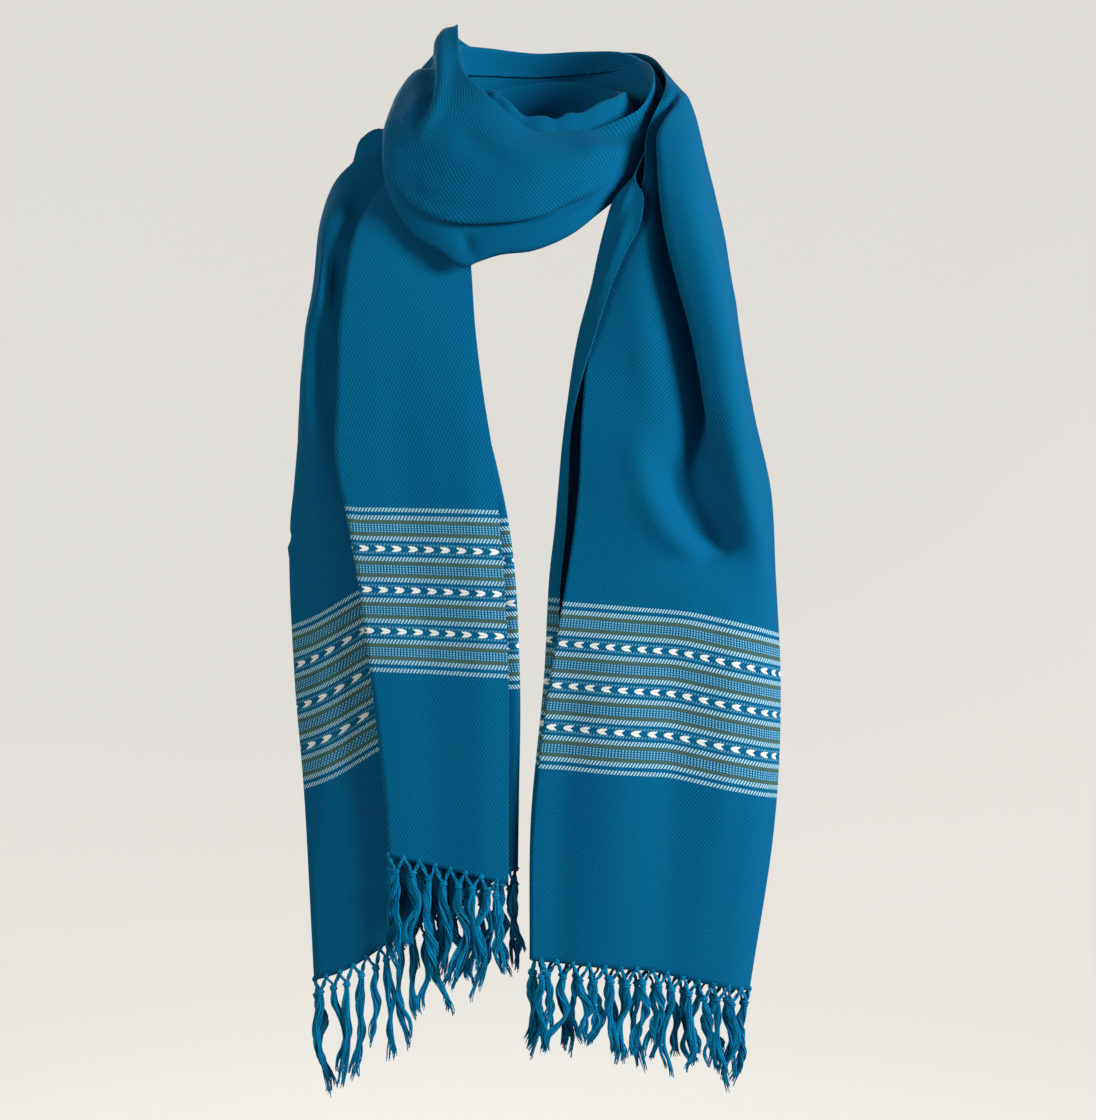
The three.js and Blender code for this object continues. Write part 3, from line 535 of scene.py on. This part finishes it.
def new_mesh(name, vertices, faces, smooth, maps):
    """A mesh object in metres. maps gives each named UV map's value at every vertex."""
    mesh = bpy.data.meshes.new(name)
    mesh.from_pydata((vertices * MM).tolist(), [], faces.tolist())
    mesh.polygons.foreach_set("use_smooth", smooth)
    corners = np.zeros(len(mesh.loops), np.int32)
    mesh.loops.foreach_get("vertex_index", corners)
    for map_name, values in maps.items():
        layer = mesh.uv_layers.new(name=map_name)
        layer.data.foreach_set("uv", (values[corners] * MM).astype(np.float32).ravel())
    mesh.update()
    return placed(name, mesh)


def shell(name, grid, thickness, maps):
    """A closed thin shell about a grid of points."""
    rows, columns = grid.shape[:2]
    lift = face_normals(grid) * thickness / 2
    vertices = np.concatenate([(grid + lift).reshape(-1, 3), (grid - lift).reshape(-1, 3)])
    index = np.arange(rows * columns).reshape(rows, columns)
    under = index + rows * columns
    a, b, c, d = index[:-1, :-1], index[1:, :-1], index[1:, 1:], index[:-1, 1:]
    top = np.stack([a, b, c, d], axis=-1).reshape(-1, 4)
    bottom = np.stack([a, d, c, b], axis=-1).reshape(-1, 4) + rows * columns

    def rim(outer, inner):
        return np.stack([outer[:-1], inner[:-1], inner[1:], outer[1:]], axis=-1)

    rims = np.concatenate([
        rim(index[:, 0], under[:, 0]), rim(index[::-1, -1], under[::-1, -1]),
        rim(index[0, ::-1], under[0, ::-1]), rim(index[-1], under[-1])])
    faces = np.concatenate([top, bottom, rims])
    smooth = np.arange(len(faces)) < len(top) + len(bottom)
    return new_mesh(name, vertices, faces, smooth,
                    {key: np.tile(values.reshape(-1, 2), (2, 1)) for key, values in maps.items()})


def tubes(paths, radii, sides):
    """Vertices and faces of many round strands: paths is [strand, ring, 3], radii [strand, ring]."""
    count, rings = radii.shape
    tangent = unit(np.gradient(paths, axis=1))
    side = unit(np.cross(tangent, point((0.13, 1, 0.07))))
    other = np.cross(side, tangent)
    angle = np.arange(sides) * 2 * math.pi / sides
    ring = side[:, :, None] * np.cos(angle)[:, None] + other[:, :, None] * np.sin(angle)[:, None]
    vertices = paths[:, :, None] + ring * radii[:, :, None, None]
    index = np.arange(count * rings * sides).reshape(count, rings, sides)
    turned = np.roll(index, -1, axis=2)
    faces = np.stack([index[:, :-1], turned[:, :-1], turned[:, 1:], index[:, 1:]], axis=-1).reshape(-1, 4)
    return vertices.reshape(-1, 3), faces


# ---- The cloth ----

grid, across, row_number = cloth_grid()
along = distance_along(grid)
column = np.arange(grid.shape[1])


def by_row(low, high):
    """0 in the rows before low, 1 after high, for every section."""
    return smooth_step(row_number, low, high)[:, None]


# The whole cloth is a little uneven: broad, shallow undulation, less of it where layers touch.
tails = 1 - by_row(*LEFT_TAIL_ENDS) * (1 - by_row(*RIGHT_TAIL_STARTS))
uneven = ripples(across, along, **WAVES) * (WAVE_HEIGHT + EXTRA_ON_TAILS * tails)
folded = sum(fold_height(grid, *fold, rows, columns) for folds, rows, columns in FOLDS for fold in folds)
lifted = grid + face_normals(grid) * (uneven + folded)[..., None]

# The inner layer's gathers, strongest at its top fold.
in_loop = ((row_number > GATHER_ROWS[0]) & (row_number < GATHER_ROWS[1]))[:, None] * np.exp(
    -((column - GATHER_COLUMN) / GATHER_SPREAD) ** 2)
for x, lift, half in GATHERS:
    lifted[..., 2] += in_loop * lift * np.exp(-((grid[..., 0] - x) / half) ** 2)
grid = lifted
grid[..., 2] += RIGHT_HEM_LIFT * by_row(*HEM_ROWS)

# Places on the woven cloth: how far along it, and how far from the nearest hem for the bands.
along = distance_along(grid)
length = along[-1]
rise = np.where(row_number[:, None] < MIDDLE_ROW, np.interp(across, *zip(*LEFT_RISE)),
                np.interp(across, *zip(*RIGHT_RISE)))
from_hem = np.minimum(along, length - along) - rise
turned_over = by_row(*TURNED_ROWS)
continuous = along * (1 - turned_over) + (length.mean() - (length - along)) * turned_over

# The warp runs straight past the right tail's groove, so the front layer's width is evened out
# there.
front = across[:, FACE_FOLD:FACE_FOLD + 1]
padded = np.pad(front[:, 0], EVENED_SECTIONS // 2, mode="edge")
even_front = np.convolve(padded, np.ones(EVENED_SECTIONS) / EVENED_SECTIONS, mode="valid")[:, None]
evened = np.where(column <= FACE_FOLD, across * even_front / front, across - front + even_front)
weave = mix(across, evened, by_row(*EVENED_ROWS))

cloth = shell("stole_cloth", grid, CLOTH_THICKNESS,
              {"weave": np.stack([weave, continuous], axis=-1),
               "hem": np.stack([weave, from_hem], axis=-1)})

# ---- The fringe: each maker of strands gives their paths and their radii, ring by ring ----


def net_yarns(rng, roots, knots):
    """Half bundles of yarns from every root to the knots on both sides of it."""
    t = np.linspace(0, 1, NET_RINGS)
    yarns = []
    for i, root in enumerate(roots):
        for knot in (knots[i], knots[i + 1]):
            bulge = rng.uniform(-0.8, 0.8)
            for yarn in range(YARNS):
                turn = yarn * THIRD_TURN + any_angle(rng)
                wave = np.stack([np.cos(turn + t * 5), np.sin(turn + t * 5), np.zeros(NET_RINGS)], axis=1)
                spread = (0.35 + np.sin(math.pi * t))[:, None] * 0.75
                path = mix(root, knot, t[:, None]) + wave * spread
                path[:, 0] += bulge * np.sin(math.pi * t)
                yarns.append(path)
    return np.array(yarns), np.full((len(yarns), NET_RINGS), YARN_RADIUS)


def coiled_knots(rng, knots, roots):
    """A short fat coil of yarn round each crossing, and a smaller one at each root."""
    u = np.linspace(0, 1, KNOT_RINGS)
    swell = np.sin(math.pi * (0.12 + 0.76 * u))
    coils, radii = [], []
    for centre, size in [(knot, 1.0) for knot in knots] + [(root, ROOT_KNOT) for root in roots]:
        turns = rng.uniform(2.2, 2.8)
        angle = any_angle(rng) + u * turns * TURN
        coils.append(centre + np.stack([KNOT_SIZE[0] * size * swell * np.cos(angle),
                                        KNOT_SIZE[1] * size * swell * np.sin(angle),
                                        (0.5 - u) * KNOT_SIZE[2] * size], axis=1))
        radii.append(np.full(KNOT_RINGS, KNOT_YARN_RADIUS * size))
    return np.array(coils), np.array(radii)


def tassels(rng, knots, full_length, seed):
    """Plies of fibres that leave each knot together, twist loosely, wave and fray apart."""
    t = np.linspace(0, 1, TASSEL_RINGS)
    still = np.zeros(TASSEL_RINGS)
    fibres, radii = [], []
    for n, knot in enumerate(knots):
        size = full_length(knot) * (1 + LENGTH_SPREAD * rng.uniform(-1, 1))
        swing = rng.uniform(-1, 1) * SWING + 3 * math.sin(n * 0.9 + seed)
        curl = rng.uniform(*CURL) * rng.choice([-1, 1])
        depth = rng.uniform(-1, 1) * SWING_DEPTH
        twist = rng.uniform(*TWIST) * rng.choice([-1, 1])
        width = rng.uniform(*TASSEL_WIDTH)
        pinch = rng.uniform(*PINCH)
        waves, start = rng.uniform(*CURL_WAVES), any_angle(rng)
        curled = curl * (np.sin(t * waves + start) - math.sin(start)) * smooth_step(t, 0, 0.4)
        axis = np.stack([swing * t**1.6 + curled, depth * t, -size * t], axis=1)
        flare = (0.3 + 0.7 * smooth_step(t, 0.0, 0.22)) * (1 - 0.55 * np.exp(-((t - pinch) / 0.12) ** 2))
        flare = flare * (1 - 0.35 * smooth_step(t, 0.6, 0.9)) + 0.12 * smooth_step(t, 0.9, 1.0)
        for ply in range(PLIES):
            turn = ply * THIRD_TURN + twist * TURN * t * 1.6
            stray = rng.uniform(-1, 1) * STRAY * smooth_step(t, 0.45, 1.0)
            kink = rng.uniform(0.3, 1.4) * np.sin(t * rng.uniform(9, 16) + any_angle(rng))
            kink = kink * smooth_step(t, 0.1, 0.5)
            ply_reach = rng.uniform(0.8, 1.0)
            around = np.stack([np.cos(turn) * width * 0.55 * flare + stray + kink,
                               np.sin(turn) * width * 0.4 * flare, still], axis=1)
            for fibre in range(STRANDS):
                spin = fibre * GOLDEN_ANGLE + (3.0 + 2.0 * twist) * 2.2 * t
                off = width * 0.42 * math.sqrt((fibre + 0.5) / STRANDS) * (0.55 + 0.45 * flare)
                loose = rng.uniform(0, 1.1) * np.sin(t * rng.uniform(4, 10) + any_angle(rng)) * t
                path = axis * np.array([1, 1, ply_reach * rng.uniform(0.95, 1.03)]) + around
                path = path + np.stack([np.cos(spin) * off + loose,
                                        np.sin(spin) * off * 0.7 + loose * 0.4, still], axis=1)
                fibres.append(knot + path)
                thinned = 1 - 0.55 * smooth_step(t, 0.8, 1.0)
                radii.append(FIBRE_RADIUS * rng.uniform(0.85, 1.25) * thinned)
    return np.array(fibres), np.array(radii)


def knotted_fringe(name, hem, down, seed, full_length):
    """Half bundles cross from the hem into a row of knots, and a loose tassel hangs from each."""
    rng = np.random.default_rng(seed)
    run = np.concatenate([[0], np.cumsum(np.linalg.norm(np.diff(hem, axis=0), axis=1))])
    count = int(run[-1] // TASSEL_PITCH)
    first = (run[-1] - (count - 1) * TASSEL_PITCH) / 2
    roots_at = first + np.arange(count) * TASSEL_PITCH

    def along_hem(places, values):
        return np.stack([np.interp(places, run, values[:, axis]) for axis in range(3)], axis=1)

    def below_hem(places, drop):
        return along_hem(places, hem) + unit(along_hem(places, down)) * drop

    roots = below_hem(roots_at, -1.0)
    knots_at = np.concatenate([[roots_at[0]], (roots_at[:-1] + roots_at[1:]) / 2, [roots_at[-1]]])
    knots = below_hem(knots_at, NET_DROP)
    knots += rng.uniform(-1, 1, knots.shape) * KNOT_SCATTER

    groups = [(*net_yarns(rng, roots, knots), YARN_SIDES),
              (*coiled_knots(rng, knots, roots), YARN_SIDES),
              (*tassels(rng, knots, full_length, seed), FIBRE_SIDES)]
    parts, faces, shift = [], [], 0
    for paths, radii, sides in groups:
        vertices, quads = tubes(paths, radii, sides)
        parts.append(vertices)
        faces.append(quads + shift)
        shift += len(vertices)
    vertices, faces = np.concatenate(parts), np.concatenate(faces)
    tone = np.concatenate([np.repeat(rng.uniform(0, 1000, len(paths)), radii.shape[1] * sides)
                           for paths, radii, sides in groups])
    drop = hem[:, 2].max() - vertices[:, 2]
    return new_mesh(name, vertices, faces, np.ones(len(faces), bool),
                    {"yarn": np.stack([tone, drop], axis=1)})


def left_tassel_length(knot):
    return LEFT_TASSEL + LEFT_TASSEL_EXTRA * smooth_step(-knot[0], *LEFT_TASSEL_GROWS)


def right_tassel_length(_):
    return RIGHT_TASSEL


left_fringe = knotted_fringe("fringe_left_yarn", grid[0], grid[0] - grid[1], LEFT_SEED,
                             left_tassel_length)
right_fringe = knotted_fringe("fringe_right_yarn", grid[-1], grid[-1] - grid[-2], RIGHT_SEED,
                              right_tassel_length)

# ---- Materials ----

class Nodes:
    """A short way to write a material's maths as nodes."""

    def __init__(self, name):
        self.material = bpy.data.materials.new(name)
        self.material.use_nodes = True
        self.tree = self.material.node_tree
        self.shader = self.tree.nodes["Principled BSDF"]

    def new(self, kind, **settings):
        node = self.tree.nodes.new(kind)
        for key, value in settings.items():
            setattr(node, key, value)
        return node

    def put(self, socket, value):
        if isinstance(value, bpy.types.NodeSocket):
            self.tree.links.new(value, socket)
        else:
            socket.default_value = value

    def math(self, operation, *values):
        node = self.new("ShaderNodeMath", operation=operation)
        for socket, value in zip(node.inputs, values):
            self.put(socket, value)
        return node.outputs[0]

    def add(self, a, b):
        return self.math("ADD", a, b)

    def mul(self, a, b):
        return self.math("MULTIPLY", a, b)

    def less(self, a, b):
        return self.math("SUBTRACT", a, b)

    def most(self, *values):
        result = values[0]
        for value in values[1:]:
            result = self.math("MAXIMUM", result, value)
        return result

    def ramp(self, value, low, high, first=0.0, last=1.0):
        """Smooth step of value from low to high."""
        node = self.new("ShaderNodeMapRange", interpolation_type="SMOOTHSTEP")
        for socket, given in zip(node.inputs, (value, low, high, first, last)):
            self.put(socket, given)
        return node.outputs[0]

    def fall(self, value, low, high):
        """1 where value is below low, down to 0 above high."""
        return self.ramp(value, low, high, 1.0, 0.0)

    def stripes(self, value, centres, half, soft):
        """1 within half of any of the centres, with soft edges."""
        away = [self.math("ABSOLUTE", self.add(value, -centre)) for centre in centres]
        return self.most(*(self.fall(distance, half - soft, half + soft) for distance in away))

    def repeat(self, value, pitch):
        """How far value lies into its repeat of the given pitch."""
        return self.mul(self.math("FRACT", self.mul(value, 1 / pitch)), pitch)

    def mixed(self, share, a, b):
        node = self.new("ShaderNodeMix", data_type="RGBA")
        self.put(node.inputs[0], share)
        self.put(node.inputs[6], a)
        self.put(node.inputs[7], b)
        return node.outputs[2]

    def noise(self, vector, scale, detail=2.0, roughness=0.5):
        node = self.new("ShaderNodeTexNoise")
        self.put(node.inputs["Vector"], vector)
        node.inputs["Scale"].default_value = scale
        node.inputs["Detail"].default_value = detail
        node.inputs["Roughness"].default_value = roughness
        return node.outputs["Fac"]

    def drift(self, vector, scale, reach):
        """Slow noise about zero."""
        return self.mul(self.add(self.noise(vector, scale), -0.5), reach)

    def uv(self, name):
        """A UV map's two values, in millimetres."""
        split = self.new("ShaderNodeSeparateXYZ")
        self.put(split.inputs[0], self.new("ShaderNodeUVMap", uv_map=name).outputs[0])
        return self.mul(split.outputs[0], 1000.0), self.mul(split.outputs[1], 1000.0)

    def vector(self, x, y, z=0.0):
        node = self.new("ShaderNodeCombineXYZ")
        for socket, value in zip(node.inputs, (x, y, z)):
            self.put(socket, value)
        return node.outputs[0]

    def bump(self, height, strength, distance):
        node = self.new("ShaderNodeBump")
        node.inputs["Strength"].default_value = strength
        node.inputs["Distance"].default_value = distance
        self.put(node.inputs["Height"], height)
        return node.outputs[0]

    def finished_cloth(self, colour, bump, roughness, sheen):
        """The material, joined up: hardly any shine, and a little blue sheen."""
        inputs = self.shader.inputs
        self.put(inputs["Base Color"], colour)
        self.put(inputs["Normal"], bump)
        self.put(inputs["Roughness"], roughness)
        inputs["Specular IOR Level"].default_value = SHINE
        inputs["Sheen Weight"].default_value = sheen
        inputs["Sheen Roughness"].default_value = SHEEN_ROUGHNESS
        inputs["Sheen Tint"].default_value = SHEEN_TINT
        return self.material


def srgb(*channels):
    """A colour given as red, green and blue from 0 to 255."""
    linear = [c / 255 / 12.92 if c <= 10 else ((c / 255 + 0.055) / 1.055) ** 2.4 for c in channels]
    return (*linear, 1.0)


TEAL = srgb(0, 104, 152)
TEAL_DEEP = srgb(0, 62, 102)
TEAL_GREEN = srgb(0, 112, 142)
DASH = srgb(176, 214, 222)
DOT = srgb(140, 200, 216)
OLIVE = srgb(66, 92, 84)
IVORY = srgb(232, 232, 226)
YARN_DARK = srgb(0, 90, 128)
YARN_LIGHT = srgb(2, 128, 176)
YARN_SHADE = srgb(0, 90, 122)

SHINE = 0.03
SHEEN_ROUGHNESS = 0.45
SHEEN_TINT = (0.45, 0.75, 0.95, 1.0)


def twill_material():
    n = Nodes("teal_twill_with_woven_bands")
    u, v = n.uv("weave")
    _, hem = n.uv("hem")
    place = n.vector(u, v)

    # Twill ribs, a little uneven, and the finer crossing yarns that break them up.
    lean = n.add(n.mul(v, TWILL_LEAN), n.drift(place, 0.06, 1.1))
    phase = n.math("FRACT", n.mul(n.add(u, lean), 1 / TWILL_PITCH))
    rib = n.math("SINE", n.mul(phase, TURN))
    weft = n.math("SINE", n.mul(v, TURN / WEFT_PITCH))
    yarn = n.noise(n.vector(n.mul(u, 0.35), n.mul(v, 1.6)), 0.9, 3, 0.6)
    cloudy = n.noise(place, 0.012, 3, 0.55)

    # Woven bands: down is the distance below the band's first full stripe, and cell the same
    # within one of its groups.
    wobble = n.drift(place, 0.35, 0.5)
    down = n.add(n.mul(n.add(hem, wobble), -1.0), BAND_TOP)
    inside = n.mul(n.ramp(down, -3.2, -2.8), n.fall(down, 118.2, 118.8))
    between_groups = n.mul(inside, n.fall(down, 100.0, 101.0))
    cell = n.add(n.repeat(n.add(down, GROUP_LEAD), BAND_REPEAT), -GROUP_LEAD)
    column_place = n.math("FRACT", n.mul(u, 1 / TWILL_PITCH))

    paired = n.mul(n.stripes(cell, *PAIRED_STRIPES), inside)
    dashes = n.mul(n.most(n.stripes(down, *LONE_STRIPES), paired), n.stripes(phase, *DASH_FLOATS))
    olive = n.mul(n.stripes(cell, *OLIVE_STRIPES), inside)
    dots = n.mul(n.mul(n.stripes(cell, *DOT_ROWS), n.stripes(column_place, *DOT_FLOATS)), inside)
    small = n.mul(n.mul(n.stripes(cell, *SMALL_ROWS), n.stripes(phase, *SMALL_FLOATS)), between_groups)

    # Arrows: a tip, a full body and a forked tail, pointing to the edge nearest the neck. share
    # runs from 0 at the tip to 1 at the tail, and off is the distance from the arrow's middle.
    from_tip = n.add(n.repeat(n.add(u, n.mul(wobble, 1.4)), ARROW_PITCH), -ARROW_START)
    share = n.mul(from_tip, 1 / ARROW_LENGTH)
    off = n.math("ABSOLUTE", n.add(cell, -ARROW_ROW))
    body = n.mul(n.math("POWER", n.ramp(share, -0.25, 0.55), 0.8), ARROW_HALF)
    fork = n.mul(n.ramp(share, 0.62, 1.05), FORK_HALF)
    filled = n.mul(n.ramp(n.less(body, off), -0.15, 0.35), n.ramp(n.less(off, fork), -0.2, 0.3))
    ends = n.mul(n.ramp(share, 0.0, 0.06), n.fall(share, 0.94, 1.02))
    arrow = n.mul(n.mul(filled, ends), between_groups)

    ground = n.mixed(n.ramp(cloudy, 0.3, 0.7, 0.35, 0.65), TEAL, TEAL_GREEN)
    # The twill's diagonal is darker in the grooves between the ribs: partly the weave's own pattern, partly
    # painted shade in the grooves.
    ground = n.mixed(n.ramp(rib, -0.9, 0.9, 0.26, 0.74), TEAL_DEEP, ground)
    ground = n.mixed(n.ramp(yarn, 0.35, 0.75, 0.0, 0.3), ground, TEAL_DEEP)
    colour = n.mixed(olive, ground, OLIVE)
    for shape, strength, tint in ((dashes, 0.86, DASH), (dots, 0.78, DOT), (small, 0.45, DOT),
                                  (arrow, 0.93, IVORY)):
        colour = n.mixed(n.mul(shape, strength), colour, tint)

    raised = n.most(dashes, dots, n.mul(arrow, 1.3), n.mul(small, 0.6))
    height = n.add(n.mul(n.add(rib, 1.0), 0.30), n.mul(n.add(weft, 1.0), 0.10))
    height = n.add(n.add(height, n.mul(yarn, 0.35)), n.mul(raised, 0.55))
    return n.finished_cloth(colour, bump=n.bump(height, strength=0.42, distance=0.0006),
                            roughness=n.ramp(yarn, 0.2, 0.8, 0.78, 0.92), sheen=0.03)


def yarn_material():
    n = Nodes("teal_fringe_yarn")
    tone, drop = n.uv("yarn")
    fibre = n.noise(n.new("ShaderNodeTexCoord").outputs["Object"], 900.0, 3, 0.6)
    colour = n.mixed(n.math("FRACT", n.mul(tone, 0.37)), YARN_DARK, YARN_LIGHT)
    colour = n.mixed(n.mul(n.ramp(fibre, 0.35, 0.7), 0.4), colour, YARN_SHADE)
    ply = n.math("SINE", n.mul(n.add(drop, n.mul(tone, 3.0)), TURN / PLY_PITCH))
    height = n.add(n.mul(ply, 0.3), fibre)
    return n.finished_cloth(colour, bump=n.bump(height, strength=0.5, distance=0.0005),
                            roughness=n.ramp(fibre, 0.2, 0.8, 0.75, 0.95), sheen=0.04)


cloth.data.materials.append(twill_material())
YARN = yarn_material()
for piece in (left_fringe, right_fringe):
    piece.data.materials.append(YARN)

# ---- Each piece hangs from the root body, and the imported solids it stands for are hidden ----

for piece, nodes, slot in (
    (cloth, ("left_tail", "nape_inner", "neck_loop", "nape_outer", "right_tail"), "twill_cloth"),
    (left_fringe, ("fringe_left",), "fringe_yarn"),
    (right_fringe, ("fringe_right",), "fringe_yarn"),
):
    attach(piece, "root")
    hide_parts(*nodes)

# ---- Floor, light and camera, in metres ----

FLOOR = -1.35
BOWL_PROFILE = [(0.0, 0.0), (2.2, 0.0), (2.6, 0.04), (2.9, 0.16), (3.12, 0.38), (3.24, 0.68),
                (3.3, 1.1), (3.3, 4.2)]        # radius, and height above the floor
BOWL_SIDES = 96
FLOOR_LIGHT = srgb(140, 139, 137)
FLOOR_DARK = srgb(130, 128, 124)
FLOOR_GLOW = srgb(228, 225, 218)

# Each lamp's name, place, aim, size, power and colour.
LAMPS = (
    ("key", (2.6, -1.55, 0.4), (0.08, -0.05, -0.4), 1.1, 152, (0.95, 0.98, 1.0)),
    ("fill", (-1.9, -2.0, 0.0), (-0.05, -0.1, -0.25), 1.6, 34, (1.0, 1.0, 0.88)),
    ("back", (-0.5, 2.0, 1.1), (0.0, 0.0, -0.2), 1.6, 62, (1.0, 0.98, 0.95)),
)
WORLD_COLOUR = (0.93, 0.95, 1.0, 1.0)
WORLD_STRENGTH = 0.15

CAMERA_PLACE = (0.011, -1.5, -0.346)
SENSOR = 36.0              # in millimetres
FOCAL_PIXELS = 1775        # the photograph's focal length, and its long side
FRAME_PIXELS = 1120


def pale_floor_material():
    """An even pale surface: a little light of its own keeps pools of lamp light from showing."""
    n = Nodes("pale_floor")
    grain = n.noise(n.new("ShaderNodeTexCoord").outputs["Object"], 2.0, 3)
    n.put(n.shader.inputs["Base Color"], n.mixed(n.mul(grain, 0.25), FLOOR_LIGHT, FLOOR_DARK))
    n.shader.inputs["Roughness"].default_value = 0.9
    n.shader.inputs["Emission Color"].default_value = FLOOR_GLOW
    n.shader.inputs["Emission Strength"].default_value = 0.74
    return n.material


def studio_bowl():
    """A pale floor that rises all round into a pale wall, so that no view has a horizon line."""
    vertices = [(r * math.cos(a), r * math.sin(a), FLOOR + z)
                for r, z in BOWL_PROFILE for a in np.arange(BOWL_SIDES) * 2 * math.pi / BOWL_SIDES]
    faces = []
    for i in range(len(BOWL_PROFILE) - 1):
        low, high = i * BOWL_SIDES, (i + 1) * BOWL_SIDES
        for j in range(BOWL_SIDES):
            following = (j + 1) % BOWL_SIDES
            faces.append((low + j, low + following, high + following, high + j))
    mesh = bpy.data.meshes.new("studio_floor")
    mesh.from_pydata(vertices, [], faces)
    mesh.polygons.foreach_set("use_smooth", np.ones(len(faces), bool))
    obj = placed("studio_floor", mesh)
    mesh.materials.append(pale_floor_material())
    obj.visible_shadow = False
    obj.visible_diffuse = False


def area_light(name, place, aim, size, power, colour):
    data = bpy.data.lights.new(name, "AREA")
    data.shape = "DISK"
    data.size = size
    data.energy = power
    data.color = colour
    light = placed(name, data)
    light.location = place
    light.rotation_mode = "QUATERNION"
    light.rotation_quaternion = (Vector(aim) - Vector(place)).to_track_quat("-Z", "Y")


studio_bowl()
for lamp in LAMPS:
    area_light(*lamp)

world = bpy.data.worlds.new("studio")
SCENE.world = world
world.use_nodes = True
background = world.node_tree.nodes["Background"].inputs
background["Color"].default_value = WORLD_COLOUR
background["Strength"].default_value = WORLD_STRENGTH

camera_data = bpy.data.cameras.new("camera")
camera_data.sensor_width = SENSOR
camera_data.lens = SENSOR * FOCAL_PIXELS / FRAME_PIXELS
camera = placed("camera", camera_data)
camera.location = CAMERA_PLACE
camera.rotation_euler = (math.pi / 2, 0.0, 0.0)
SCENE.camera = camera
SCENE.view_settings.view_transform = "Standard"
